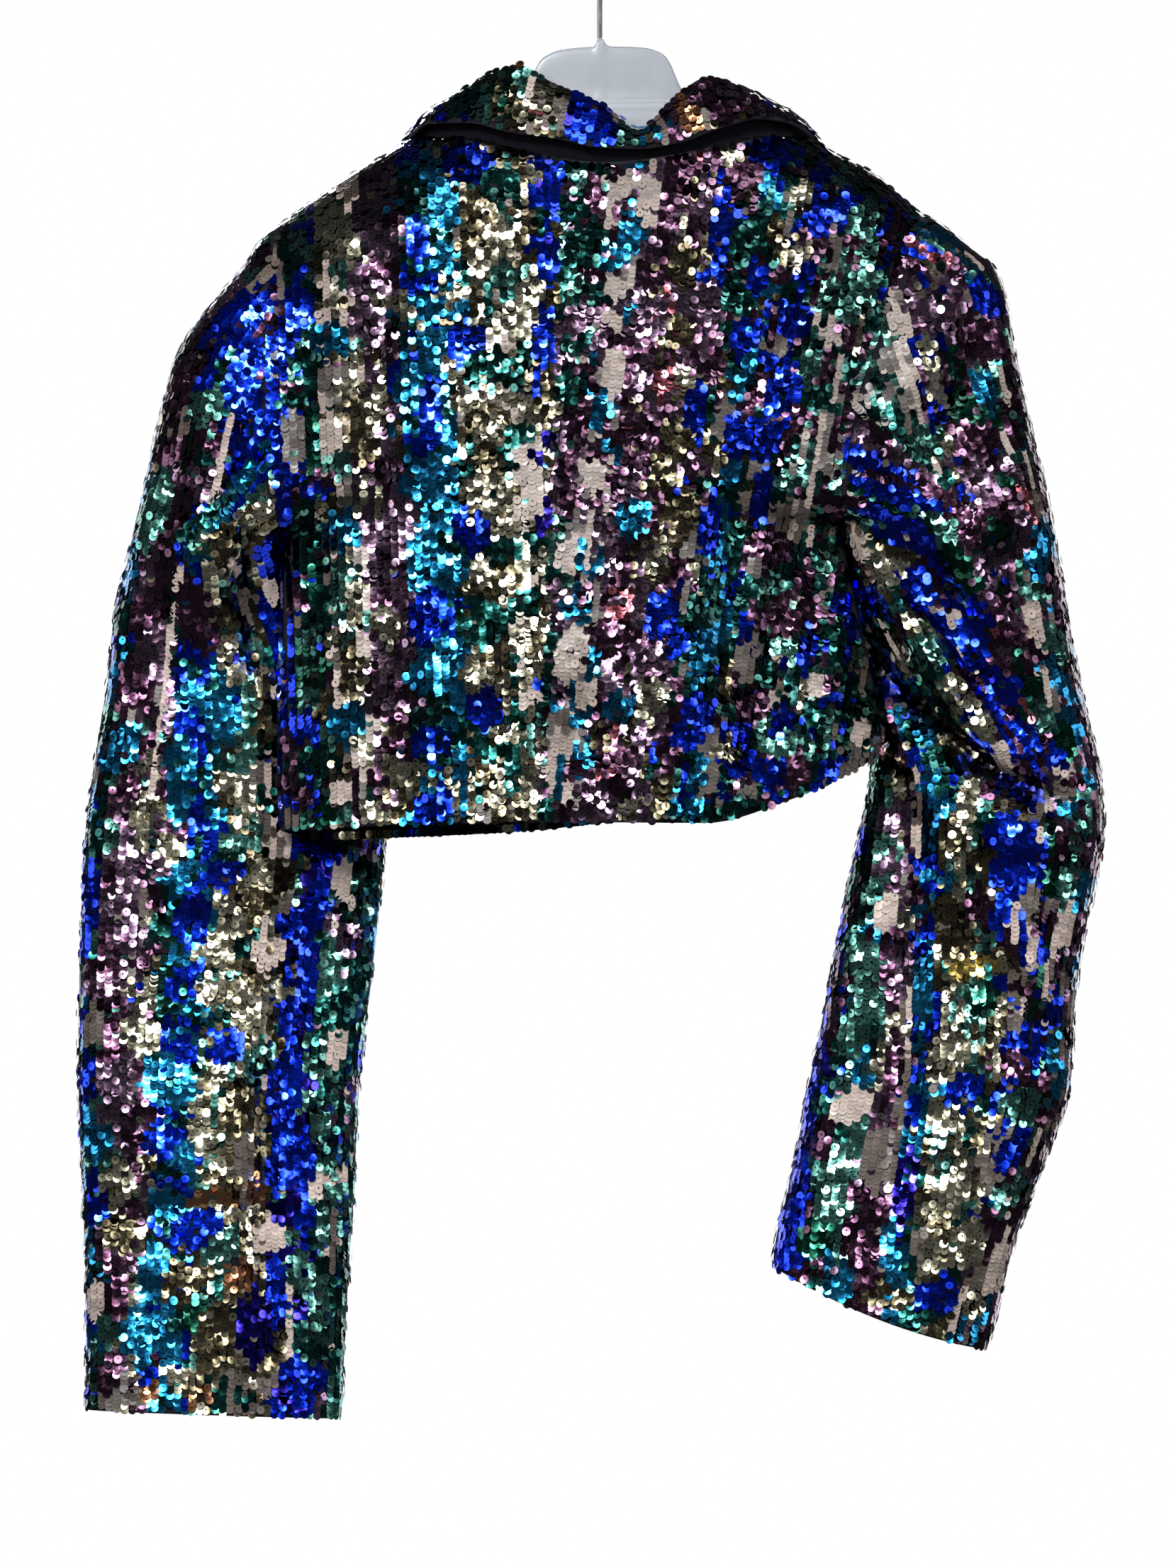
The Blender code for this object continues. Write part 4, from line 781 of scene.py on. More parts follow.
def body_panels():
    """The sewn panels of the body and the sleeves."""
    panels = {
        "back_left": Panel(back_grid(LEFT_SLEEVE, SIDE_LEFT, NECK_LEFT), CHEST),
        "back_right": Panel(back_grid(RIGHT_SLEEVE, SIDE_RIGHT, NECK_RIGHT), CHEST),
        "front_left": Panel(front_grid(LEFT_SLEEVE, SIDE_LEFT, NECK_LEFT, LAP_LEFT), CHEST),
        "front_right": Panel(front_grid(RIGHT_SLEEVE, SIDE_RIGHT, NECK_RIGHT, LAP_RIGHT), CHEST),
        "sleeve_left_upper": Panel(LEFT_SLEEVE.upper(), LEFT_ARM),
        "sleeve_left_under": Panel(*under_parts(LEFT_SLEEVE, LEFT_ARM)),
        "sleeve_right_upper": Panel(RIGHT_SLEEVE.upper(), RIGHT_ARM),
        "sleeve_right_under": Panel(*under_parts(RIGHT_SLEEVE, RIGHT_ARM)),
    }
    share_ways([panel for name, panel in panels.items() if not name.startswith("sleeve")],
               [panel for name, panel in panels.items() if name.startswith("sleeve")])
    straight_cap(panels["sleeve_left_upper"])
    straight_cap(panels["sleeve_right_upper"])
    lap_over(panels["front_right"].points)
    lap_over(panels["front_right"].grid)
    for name, panel in panels.items():
        panel.draw_back(SEAM_GAP / 2)
        if name.endswith("upper"):
            columns = panel.grid.shape[1]
            first, second = panel.points[:columns], panel.points[columns:2 * columns]
            panel.points[:columns] = first + CAP_GAP * unit(second - first)
        if name.startswith("sleeve"):
            panel.points[:, 0] += math.copysign(ARMHOLE_GAP, panel.points[0, 0])
    return panels


def under_parts(sleeve, core):
    """What Panel needs for an under sleeve."""
    grid, present = sleeve.under()
    return grid, core, present


def crossed(one, other):
    """Cross product of flat vectors."""
    return one[:, 0] * other[:, 1] - one[:, 1] * other[:, 0]


def on_front(front, x, drop, height):
    """Point over a front, seen from the front at x and drop, at a height along the cloth's normal."""
    places, ways = front.triangles()
    first = places[:, 1, ::2] - places[:, 0, ::2]
    second = places[:, 2, ::2] - places[:, 0, ::2]
    to = np.array([x, -drop]) - places[:, 0, ::2]
    area = crossed(first, second)
    thin = np.abs(area) < SLIVER
    area = np.where(thin, 1, area)
    b, c = crossed(to, second) / area, crossed(first, to) / area
    shares = np.stack([1 - b - c, b, c], axis=1)
    best = int(np.argmax(np.where(thin, -np.inf, shares.min(axis=1))))
    shares = np.clip(shares[best], 0, 1)
    shares /= shares.sum()
    way = unit(shares @ ways[best])
    return np.array([x, float(shares @ places[best][:, 1]), -drop]) + way * height


def collar_line(line, stations, fronts):
    """One of the collar's lines, with the front stations laid on the fronts."""
    rows = COLLAR.data.copy()
    first = COLLAR.columns.index(line + "_x")
    for row in rows:
        if FRONT_END < row[0] < FRONT_START:
            continue
        front = fronts["front_left" if row[0] <= FRONT_END else "front_right"]
        place = on_front(front, row[first], row[first + 2], row[first + 1])
        row[first], row[first + 1], row[first + 2] = place[0], place[1], -place[2]
    laid = Table(" ".join(COLLAR.columns), rows)
    return np.stack([laid.read(line + "_x", stations), laid.read(line + "_y", stations),
                     -laid.read(line + "_drop", stations)], axis=-1)


def collar_panels(fronts):
    """The sequined leaf and the plain stand under it."""
    middle = np.array(COLLAR_CENTRE)
    stations = np.linspace(0, COLLAR.data[-1, 0], COLLAR_COLUMNS + 1)
    crest = collar_line("crest", stations, fronts)
    edge = collar_line("edge", stations, fronts)
    out = unit(((crest + edge) / 2 - middle) * (1, 1, COLLAR_RISE))
    leaf = []
    for t in np.linspace(0, 1, FALL_ROWS):
        bulge = LEAF_BULGE * math.sin(math.pi * t ** LEAF_BULGE_TOP)
        leaf.append(crest + (edge - crest) * t + out * bulge)
    stations = np.linspace(STAND_FROM, STAND_TO, STAND_COLUMNS)
    neck = collar_line("neck", stations, fronts)
    crest = collar_line("crest", stations, fronts)
    inward = unit((middle - neck) * (1, 1, 0))
    rise = crest - neck
    height = np.linalg.norm(rise, axis=-1, keepdims=True)
    top = neck + rise * np.clip(1 - STAND_UNDER_CREST / height, 0, 1) + inward * STAND_INSIDE
    foot = neck + (0, 0, STAND_FOOT)
    stand = np.array([foot + (top - foot) * t for t in np.linspace(0, 1, STAND_ROWS)])
    return Panel(np.array(leaf), middle), Panel(stand, middle)


def lapel_panel(front, neck_x, lap_x, widths):
    """A turned-back rever, made from points of its front moved out."""
    drops = np.linspace(widths.data[0, 0], widths.data[-1, 0], LAPEL_ROWS)
    roll_x = front_edge(neck_x, lap_x)(drops)
    reach = widths.read("width", drops) * math.copysign(1, neck_x)
    grid = np.zeros((LAPEL_ROWS, LAPEL_COLUMNS, 3))
    for j in range(LAPEL_ROWS):
        for i in range(LAPEL_COLUMNS):
            out = i / (LAPEL_COLUMNS - 1)
            height = LAPEL_LIFT + LAPEL_ROLL * math.sin(math.pi * min(1, out + LAPEL_ROLL_START))
            low = drops[j] + LAPEL_DROOP * out * out
            grid[j, i] = on_front(front, roll_x[j] + reach[j] * out, low, height)
    return Panel(grid, CHEST)


SEQUIN_FINISHES = (
    # name, colour, tumble in degrees, matte
    ("cobalt", (0.004, 0.029, 0.62), 4, 0),
    ("indigo", (0.012, 0.007, 0.20), 4, 0),
    ("turquoise", (0.014, 0.215, 0.44), 4, 0),
    ("sea_green", (0.10, 0.285, 0.24), 4.5, 0),
    ("deep_teal", (0.008, 0.070, 0.062), 4, 0),
    ("emerald", (0.008, 0.072, 0.046), 4, 0),
    ("champagne", (0.53, 0.50, 0.36), 4.5, 0),
    ("olive", (0.145, 0.122, 0.072), 4, 0),
    ("mauve", (0.212, 0.13, 0.207), 4, 0),
    ("plum", (0.086, 0.036, 0.071), 4, 0),
    ("rose", (0.60, 0.17, 0.21), 5, 0),
    ("copper", (0.46, 0.215, 0.105), 5, 0),
    ("gold", (0.58, 0.42, 0.10), 5, 0),
    ("taupe", (0.375, 0.302, 0.264), 3, 1),
    ("umber", (0.064, 0.048, 0.039), 3, 1),
)
FINISH_NUMBER = {row[0]: k for k, row in enumerate(SEQUIN_FINISHES)}
FIRST_MATTE = FINISH_NUMBER["taupe"]
# Materials of the foil and of the matte sequins: name, metallic, roughness, coat.
SEQUIN_LOOKS = (("sequin foil", 1.0, 0.17, 0.22), ("sequin matte", 0.0, 0.45, 0.1))

# Bands of strings: where each ends across the cloth, and its finishes with their shares.
BACK_LEFT_BANDS = (
    (-178, "cobalt 5 umber 2 plum 2 deep_teal 1"),
    (-160, "deep_teal 5 emerald 3 sea_green 3 cobalt 2 plum 1"),
    (-136, "taupe 3 umber 2 champagne 4 olive 2 sea_green 1 plum 1"),
    (-112, "mauve 7 plum 3 champagne 2 olive 1"),
    (-86, "turquoise 6 deep_teal 2 champagne 1 cobalt 1"),
    (-60, "champagne 4 olive 4 deep_teal 2 umber 1"),
    (-35, "champagne 4 olive 3 deep_teal 3 taupe 2 sea_green 1"),
    (10, "cobalt 4 deep_teal 2 olive 2 indigo 1"),
)
BACK_RIGHT_BANDS = (
    (-8, "sea_green 4 deep_teal 4 mauve 2 champagne 1"),
    (6, "deep_teal 3 plum 3 mauve 2 sea_green 2"),
    (32, "taupe 3 umber 2 turquoise 2 plum 2 mauve 3"),
    (58, "plum 6 mauve 4 olive 2 rose 1"),
    (69, "plum 4 mauve 3 olive 2 champagne 2"),
    (79, "cobalt 4 plum 3 mauve 1"),
    (91, "plum 3 deep_teal 4 umber 2 champagne 1 olive 1"),
    (104, "turquoise 5 deep_teal 4 cobalt 2"),
    (118, "deep_teal 5 plum 2 umber 2 olive 1 cobalt 1"),
    (131, "cobalt 5 deep_teal 2 plum 2 umber 1"),
    (158, "umber 2 sea_green 3 plum 3 deep_teal 3 taupe 1"),
    (182, "plum 3 deep_teal 4 cobalt 2 sea_green 2 umber 1"),
    (320, "deep_teal 4 sea_green 2 umber 2 cobalt 2 champagne 1"),
)
FRONT_BANDS = (
    (-150, "cobalt 4 deep_teal 3 plum 2"),
    (-118, "taupe 3 champagne 4 olive 3 umber 1"),
    (-88, "turquoise 5 cobalt 3 deep_teal 2"),
    (-58, "mauve 4 plum 5 champagne 1"),
    (-26, "champagne 4 olive 4 deep_teal 2 cobalt 1"),
    (-4, "cobalt 4 turquoise 2 indigo 1"),
    (24, "sea_green 4 deep_teal 4 mauve 1"),
    (52, "taupe 3 umber 2 turquoise 2 mauve 1"),
    (80, "plum 5 mauve 4 rose 1"),
    (106, "cobalt 4 turquoise 3 deep_teal 2"),
    (400, "sea_green 3 emerald 2 champagne 2 plum 2"),
)
UPPER_LEFT_BANDS = (
    (-46, "deep_teal 3 cobalt 3 plum 2"),
    (-22, "taupe 3 umber 3 mauve 2 plum 1"),
    (2, "cobalt 3 deep_teal 3 umber 2 turquoise 1"),
    (17, "turquoise 4 sea_green 3 cobalt 2 deep_teal 3"),
    (31, "mauve 4 plum 4 umber 1 champagne 1 sea_green 1"),
    (42, "plum 3 champagne 2 mauve 2 umber 2"),
    (60, "plum 3 sea_green 3 deep_teal 3 cobalt 2"),
    (400, "cobalt 5 plum 2 mauve 2 deep_teal 1"),
)
UPPER_RIGHT_BANDS = (
    (-40, "turquoise 3 cobalt 3 umber 2 champagne 1"),
    (-14, "copper 1 champagne 2 plum 3 mauve 2"),
    (4, "mauve 3 plum 3 rose 2 emerald 2"),
    (20, "mauve 4 plum 4 turquoise 1 umber 1"),
    (36, "turquoise 2 umber 2 sea_green 2 plum 2 taupe 1"),
    (58, "plum 4 emerald 2 mauve 2 rose 1 cobalt 1"),
    (80, "mauve 3 plum 3 cobalt 3 champagne 1"),
    (400, "sea_green 3 taupe 2 umber 2 deep_teal 2"),
)
UNDER_LEFT_BANDS = (
    (-46, "mauve 4 plum 3 champagne 2 olive 1"),
    (-20, "turquoise 5 cobalt 4 deep_teal 3"),
    (2, "champagne 4 olive 4 sea_green 3 deep_teal 1"),
    (27, "olive 4 champagne 3 taupe 1 umber 2 deep_teal 2"),
    (49, "cobalt 6 indigo 2 sea_green 1"),
    (82, "sea_green 5 taupe 1 deep_teal 3 mauve 1"),
    (104, "turquoise 3 cobalt 3 champagne 1"),
    (400, "deep_teal 3 umber 2 mauve 2 champagne 1"),
)
UNDER_RIGHT_BANDS = (
    (-12, "plum 4 mauve 3 rose 1 emerald 1 umber 1"),
    (8, "sea_green 3 plum 3 emerald 2 mauve 1 cobalt 2"),
    (26, "cobalt 3 plum 3 umber 2 taupe 1"),
    (38, "cobalt 3 champagne 3 olive 2 umber 1"),
    (48, "olive 3 sea_green 3 plum 2 deep_teal 2"),
    (62, "champagne 6 olive 3 sea_green 1"),
    (70, "deep_teal 4 olive 2 umber 2"),
    (85, "turquoise 5 cobalt 4 deep_teal 1"),
    (91, "umber 3 plum 3 taupe 1"),
    (105, "mauve 5 plum 4 champagne 1"),
    (123, "sea_green 7 deep_teal 1 turquoise 1"),
    (134, "deep_teal 3 plum 3 cobalt 2"),
    (400, "cobalt 6 indigo 2"),
)
COLLAR_BANDS = (
    (-112, "cobalt 2 deep_teal 3 plum 1"),
    (-84, "deep_teal 4 cobalt 3 olive 1"),
    (-62, "sea_green 4 emerald 3 olive 2 copper 1 champagne 1"),
    (-34, "umber 3 olive 4 champagne 3 rose 1 sea_green 1 taupe 1"),
    (-8, "cobalt 4 indigo 4 plum 1"),
    (8, "sea_green 4 emerald 2 umber 1 olive 2"),
    (28, "umber 2 turquoise 3 plum 2 deep_teal 2 champagne 1"),
    (66, "mauve 3 plum 3 umber 2 champagne 2 copper 1 olive 2"),
    (92, "olive 3 umber 2 mauve 3 plum 3"),
    (400, "plum 3 cobalt 2 deep_teal 2"),
)

# Lozenges and strips that stand out in the stripes, where they show on the back: x, drop, strings on each
# side of the middle one, half length, finish.
MARKS = """
    -72 147 3 14 cobalt, -76 247 2 15 cobalt, -72 351 2 14 cobalt, -64 453 2 13 cobalt,
    -60 262 3 12 deep_teal, -57 158 2 13 deep_teal, -66 404 3 15 deep_teal, -52 208 2 9 sea_green,
    -103 190 1 14 cobalt, -96 282 1 18 cobalt, -97 304 2 6 cobalt, -95 400 2 18 cobalt, -89 506 1 12 cobalt,
    -150 245 2 11 turquoise, -147 352 2 14 turquoise, -141 458 2 13 turquoise, -26 160 1 14 cobalt,
    -27 200 1 16 cobalt, -31 246 1 12 cobalt, -36 270 0 10 cobalt, 16 186 1 17 turquoise,
    8 202 1 7 turquoise, 3 284 1 14 turquoise, 8 168 0 14 taupe, 27 168 1 18 taupe, 12 158 2 7 taupe,
    8 215 1 8 taupe, 8 262 1 16 taupe, -2 318 2 9 taupe, -14 366 2 12 taupe, -18 420 2 18 taupe,
    -26 478 1 18 taupe, -150 184 2 20 champagne, -14 396 2 6 turquoise, -12 372 0 14 turquoise,
    -24 492 0 14 turquoise, 20 346 2 13 turquoise, 44 346 2 18 olive, 52 282 1 16 cobalt,
    36 402 2 15 cobalt, 68 180 1 20 cobalt, 54 456 2 16 cobalt, 60 350 1 20 cobalt, 30 446 2 12 champagne,
    10 452 2 9 turquoise, 98 142 3 10 cobalt, 76 138 1 10 champagne, 80 262 1 16 turquoise,
    109 236 2 12 cobalt, 102 274 2 13 cobalt, 92 334 1 16 cobalt, 136 172 2 12 cobalt,
    114 166 1 10 champagne, 112 196 1 8 champagne, 130 222 1 14 sea_green, 148 176 2 12 sea_green,
    78 244 1 12 cobalt, 94 488 2 10 cobalt, 104 462 1 9 cobalt, 122 438 1 8 taupe, 112 446 0 9 champagne,
    146 462 1 8 taupe, 86 424 2 14 umber, 118 324 0 16 taupe, 124 300 0 14 taupe, 134 266 0 14 taupe,
    146 240 0 14 champagne, 92 430 1 12 deep_teal, 70 476 2 7 champagne, 56 424 1 18 turquoise,
    50 462 2 12 cobalt, 62 390 1 16 deep_teal, -178 330 1 30 cobalt, -180 420 1 36 cobalt,
    -172 300 1 18 umber, -238 392 0 20 taupe, -242 420 0 18 taupe, -247 452 0 18 taupe, -252 486 0 18 taupe,
    -256 514 0 14 champagne, -206 236 3 24 cobalt, -196 292 2 28 cobalt, -214 310 0 24 taupe,
    -252 340 2 24 sea_green, -262 372 1 20 turquoise, -228 400 2 26 plum, -212 455 2 22 turquoise,
    -200 474 1 14 sea_green, -206 432 1 9 champagne, -270 474 2 16 turquoise, -264 440 1 18 plum,
    -286 560 1 24 cobalt, -264 548 1 30 mauve, -240 504 1 16 turquoise, -236 552 1 14 turquoise,
    -231 572 2 18 cobalt, -244 532 2 9 champagne, -211 545 2 9 cobalt, -198 562 2 14 olive,
    -188 590 2 11 taupe, -208 574 1 9 champagne, -214 612 3 10 champagne, -198 626 2 12 champagne,
    -211 643 2 12 cobalt, -148 548 1 12 taupe, -162 566 1 22 cobalt, -166 606 1 24 cobalt,
    -152 596 1 14 sea_green, -150 642 1 13 taupe, -176 660 1 24 cobalt, -192 650 2 12 sea_green,
    -262 636 2 12 champagne, -274 664 2 14 mauve, -242 664 3 16 turquoise, -249 696 2 13 cobalt,
    -236 706 1 10 turquoise, -225 686 1 18 champagne, -206 678 2 18 olive, -190 702 1 16 olive,
    -288 660 1 18 cobalt, -284 632 1 12 umber, -157 690 1 14 sea_green, -168 706 1 16 cobalt,
    -184 712 1 14 cobalt, -196 724 1 9 copper, -218 727 3 6 copper, -228 744 3 12 cobalt,
    -212 752 1 9 sea_green, -188 750 2 11 taupe, -204 772 2 10 copper, -252 772 2 18 turquoise,
    -270 748 2 12 olive, -284 786 1 12 taupe, -236 776 2 14 olive, -228 792 1 8 emerald,
    -196 800 2 24 indigo, -182 778 1 18 cobalt, -174 800 0 22 taupe, -164 830 2 10 cobalt,
    -158 790 1 20 sea_green, -216 806 2 22 olive, -240 828 2 7 champagne, -262 806 2 18 turquoise,
    -254 838 1 6 copper, -226 838 1 6 copper, -152 756 0 18 umber, 190 232 4 13 mauve, 212 244 3 14 plum,
    216 222 2 12 cobalt, 168 236 1 10 taupe, 146 214 2 18 sea_green, 216 276 1 12 turquoise,
    190 272 1 10 umber, 180 304 2 12 sea_green, 212 300 3 12 plum, 150 312 3 14 cobalt, 166 332 3 14 cobalt,
    176 350 2 14 cobalt, 142 352 2 12 champagne, 156 372 2 12 champagne, 148 362 1 12 taupe,
    196 350 1 14 sea_green, 200 372 2 14 emerald, 180 384 2 14 cobalt, 138 392 2 9 cobalt,
    162 410 0 12 taupe, 184 420 3 10 sea_green, 176 404 1 8 champagne, 202 444 2 11 champagne,
    216 464 1 11 champagne, 226 480 1 9 taupe, 228 440 2 12 cobalt, 244 470 2 14 cobalt,
    214 400 2 12 cobalt, 242 404 1 14 taupe, 246 372 1 12 turquoise, 256 434 1 12 turquoise,
    236 352 1 16 mauve, 262 470 1 12 emerald, 250 456 1 10 sea_green, 230 524 3 14 cobalt,
    236 544 3 14 cobalt, 262 550 1 14 sea_green, 205 508 1 16 champagne, 186 520 1 16 turquoise,
    232 572 0 12 taupe, 240 584 0 12 taupe, 250 600 0 10 taupe, 256 618 1 12 cobalt, 210 598 3 8 gold,
    214 616 2 8 emerald, 194 565 2 9 olive, 160 566 1 12 taupe, 148 592 2 14 sea_green,
    222 640 0 22 champagne, 205 668 2 11 cobalt, 190 652 1 14 champagne, 184 616 1 14 turquoise,
    172 600 1 16 mauve, 166 650 1 14 plum, 140 676 2 12 taupe, 236 674 2 10 sea_green, 244 640 1 16 cobalt,
    198 716 2 20 champagne, 190 704 1 12 sea_green, 180 700 0 40 turquoise, 172 720 1 24 indigo,
    158 706 2 20 umber, 222 706 1 20 umber, 234 700 1 14 cobalt, 120 752 2 12 emerald, 104 760 1 14 cobalt,
    146 752 2 20 plum, 206 754 2 16 champagne, 194 782 3 12 cobalt, 210 786 1 10 champagne,
    224 764 1 20 taupe, 160 784 3 8 olive
"""
# How the strings lean on each half of the back, and fan out on the right one.
LEFT_LEAN = 0.027
RIGHT_LEAN = 0.115
RIGHT_FAN = 0.0005
# How they swing out down the right under sleeve, and spread below its elbow.
SWING_START, SWING_LENGTH = 290.0, 200.0
SWING = 0.32
SPREAD_START = 520.0
SPREAD = 0.12

# Sewing: how far from a seam its own string lies, where a string's first and last sequins may lie in row
# pitches, how unevenly they are spaced, how far off a string's way down is taken, and how much of the cloth
# round a place has to exist.
SEAM_STRING = 1.3
STRING_START = (0.9, 1.5)
STRING_END = 0.6
ROW_JITTER = 0.12
DOWN_REACH = 2.0
ON_CLOTH = 0.99
# The row that a front's hem turns in: its height over the edge and its pitch. Bare cloth round the button.
HEM_TURN = 2.2
HEM_SPACING = 3.4
BUTTON_ROOM = 2.4

# Patches of one finish: length of the ground's, then the lozenges' most strings on a side, half length,
# least and greatest share of it, mean area as a share, how often they cover the cloth, how much shorter
# their outer strings are, and how uneven the strings' ends.
GROUND_PATCH = 9
PATCH_REACH = 2
PATCH_HALF = 13.0
PATCH_LENGTHS = (0.35, 1.15)
PATCH_MEAN = 0.525
PATCH_COVER = 2.6
LOZENGE_TAPER = 0.6
PATCH_STAGGER = 1.8
# Cloth that faces back by more than this gets the marks.
SEEN_FROM_BACK = -0.15
# Shares of sequins in a finish of their own, and of foil ones that are missing.
STRAY = 0.04
MISSING = 0.07

# The strings' slow turn: its length, and how far a string follows those two away, next to it, and itself.
TWIST_EVERY = 8.0
TWIST_SHARES = (0.25, 0.45, 0.6)
# Loose sequins tumble more, come in patches, and slip and lift by distances in metres.
LOOSE_TUMBLE = 2.4
LOOSE_PATCHES = 0.9
LOOSE_PANELS = ("back_left", "back_right", "collar_fall")
LOOSE_SHIFT = 0.0006
LOOSE_LIFT = (0.0006, 0.0015)
# How unevenly all foil ones lie over the cloth, in metres, and the spread of their sizes.
LIFT_SPREAD = (-0.0001, 0.0003)
SIZE_SPREAD = (0.95, 1.04)
# How much calmer matte sequins and those on upward cloth lie, and how much tilt sideways cloth leaves.
MATTE_CALM = 0.75
LAID_FLAT = 0.85
SIDE_FLAT = 0.3
# How light sequins are: their own spread, that of slow patches, and the limits of both.
SHADE_SPREAD = (0.76, 1.14)
TONE = 0.13
SHADE_LIMITS = (0.4, 1.5)
# A sequin's sewn hole on its map from 0 to 1, with the radii where it ends and where the foil begins.
HOLE_MIDDLE = (0.5, 0.60, 0.0)
HOLE_EDGE = (0.09, 0.12)
# Margin round a sequin in its cell of the bake map.
BAKE_MARGIN = 0.06

# The backing cloth lies this far inside the panel's form. Steeper edges are sharp.
SHELL_INSET = 0.2
SHARP_EDGE = math.radians(50)
# Numbers of a colour mix's sockets.
MIX_DARK, MIX_LIGHT, MIX_RESULT = 6, 7, 2

# The stage, in metres and watts. The frame's middle and height are the photograph's.
FRAME_MIDDLE = (-0.0066, -0.4944)
FRAME_SPAN = 0.8848
CAMERA_DISTANCE = 8.0
SENSOR = 24
FLOOR = -2.1
FLOOR_RADIUS = 1.3
FLOOR_SIDES = 96
LAMPS = (
    # name, place, what it is aimed at, width and height, power
    ("key", (-0.75, -2.35, 0.8), (0, 0, -0.45), (0.55, 0.45), 66),
    ("low key", (-0.45, -2.3, 0.06), (0, 0, -0.65), (0.4, 0.4), 12),
    ("shoulder", (1.1, -1.6, 1.4), (0.12, 0, -0.16), (0.5, 0.5), 16),
    ("fill", (1.5, -2.0, -0.1), (0, 0, -0.5), (0.35, 0.9), 12),
    ("top", (0.1, -0.9, 1.3), (0, 0, -0.4), (0.9, 0.4), 10),
    ("left side", (-2.0, -0.5, -0.2), (-0.2, 0, -0.5), (0.5, 1.0), 5),
    ("right side", (2.0, -0.3, -0.1), (0.2, 0, -0.5), (0.5, 1.0), 5),
    ("rear", (-0.5, 2.4, 0.6), (0, 0, -0.45), (0.7, 0.6), 50),
    ("left rim", (-1.5, 1.9, -0.4), (-0.2, 0, -0.5), (1.1, 1.6), 9),
    ("right rim", (1.5, 1.9, -0.4), (0.2, 0, -0.5), (1.1, 1.6), 9),
)


class BlazerSequins(bpy.types.PropertyGroup):
    """Sizes of the sequins and how they are sewn."""
    diameter: FloatProperty(name="Diameter", description="Across one sequin", default=0.005, unit="LENGTH")
    cup: FloatProperty(name="Cup", description="Depth of a sequin's dish", default=0.0001, unit="LENGTH")
    column_pitch: FloatProperty(name="Column pitch", description="Between two strings of sequins",
                                default=0.0043, unit="LENGTH")
    row_pitch: FloatProperty(name="Row pitch", description="Between two sequins of one string",
                             default=0.0024, unit="LENGTH")
    lean: FloatProperty(name="Lean", description="How far a sequin's lower edge stands out",
                        default=math.radians(9), unit="ROTATION")
    twist: FloatProperty(name="Twist", description="How far a string of sequins turns from place to place",
                         default=math.radians(8.5), unit="ROTATION")
    lift: FloatProperty(name="Lift", description="Height of a sequin's middle over the cloth",
                        default=0.0009, unit="LENGTH")
    loose: FloatProperty(name="Loose share", description="Foil sequins that have turned out of their row",
                         default=0.22, min=0, max=1)
    loose_back: FloatProperty(name="Loose share, back", description="The same on the back and the collar",
                              default=0.42, min=0, max=1)
    sides: IntProperty(name="Sides", description="Corners of one sequin", default=10, min=6, max=24)
    seed: IntProperty(name="Seed", description="Start of the random tilt and colour", default=7)


class BlazerCloth(bpy.types.PropertyGroup):
    """Sizes and colours of the cloth."""
    thickness: FloatProperty(name="Thickness", description="Backing cloth with its lining",
                             default=0.0012, unit="LENGTH")
    backing: FloatVectorProperty(name="Backing", description="Colour of the cloth behind the sequins",
                                 subtype="COLOR", size=3, default=(0.006, 0.006, 0.009))
    stand: FloatVectorProperty(name="Collar stand", description="Colour of the plain collar stand",
                               subtype="COLOR", size=3, default=(0.002, 0.002, 0.004))


class BlazerHanger(bpy.types.PropertyGroup):
    """Colours of the hanger, its hook and the button."""
    plastic: FloatVectorProperty(name="Plastic", description="Colour of the moulded hanger",
                                 subtype="COLOR", size=3, default=(0.245, 0.266, 0.298))
    hook: FloatVectorProperty(name="Hook", description="Colour of the wire hook",
                              subtype="COLOR", size=3, default=(0.17, 0.17, 0.18))
    button: FloatVectorProperty(name="Button", description="Colour of the button",
                                subtype="COLOR", size=3, default=(0.012, 0.012, 0.015))


def node(tree, kind, place, **values):
    """A shader node with its properties and inputs set. Spaces in an input's name are underscores."""
    made = tree.nodes.new(kind)
    made.location = place
    for name, value in values.items():
        socket = name.replace("_", " ")
        if socket in made.inputs:
            made.inputs[socket].default_value = value
        else:
            setattr(made, name, value)
    return made


def fresh(name, **values):
    """A node material made anew: itself, its tree, its shader, and where its textures lie."""
    made = bpy.data.materials.get(name) or bpy.data.materials.new(name)
    made.use_nodes = True
    tree = made.node_tree
    tree.nodes.clear()
    shader = node(tree, "ShaderNodeBsdfPrincipled", (300, 0), **values)
    out = node(tree, "ShaderNodeOutputMaterial", (620, 0))
    tree.links.new(shader.outputs[0], out.inputs[0])
    where = node(tree, "ShaderNodeTexCoord", (-1300, 0)).outputs["Object"]
    return made, tree, shader, where


def texture(tree, kind, place, where, **values):
    """The grey output of a texture on the object's coordinates."""
    made = node(tree, "ShaderNodeTex" + kind, place, **values)
    tree.links.new(where, made.inputs["Vector"])
    return made.outputs["Fac"]


def ranged(tree, place, value, **limits):
    """A value brought to a new range."""
    made = node(tree, "ShaderNodeMapRange", place, **limits)
    tree.links.new(value, made.inputs["Value"])
    return made.outputs[0]


def combined(tree, operation, place, *values):
    """Outputs and numbers, added or multiplied."""
    made = node(tree, "ShaderNodeMath", place, operation=operation)
    for socket, value in zip(made.inputs, values):
        if isinstance(value, float):
            socket.default_value = value
        else:
            tree.links.new(value, socket)
    return made.outputs[0]


def tone(colour, share, lift=0.0):
    """A darker or lighter tone of a colour."""
    return [min(1, part * share + lift) for part in colour]


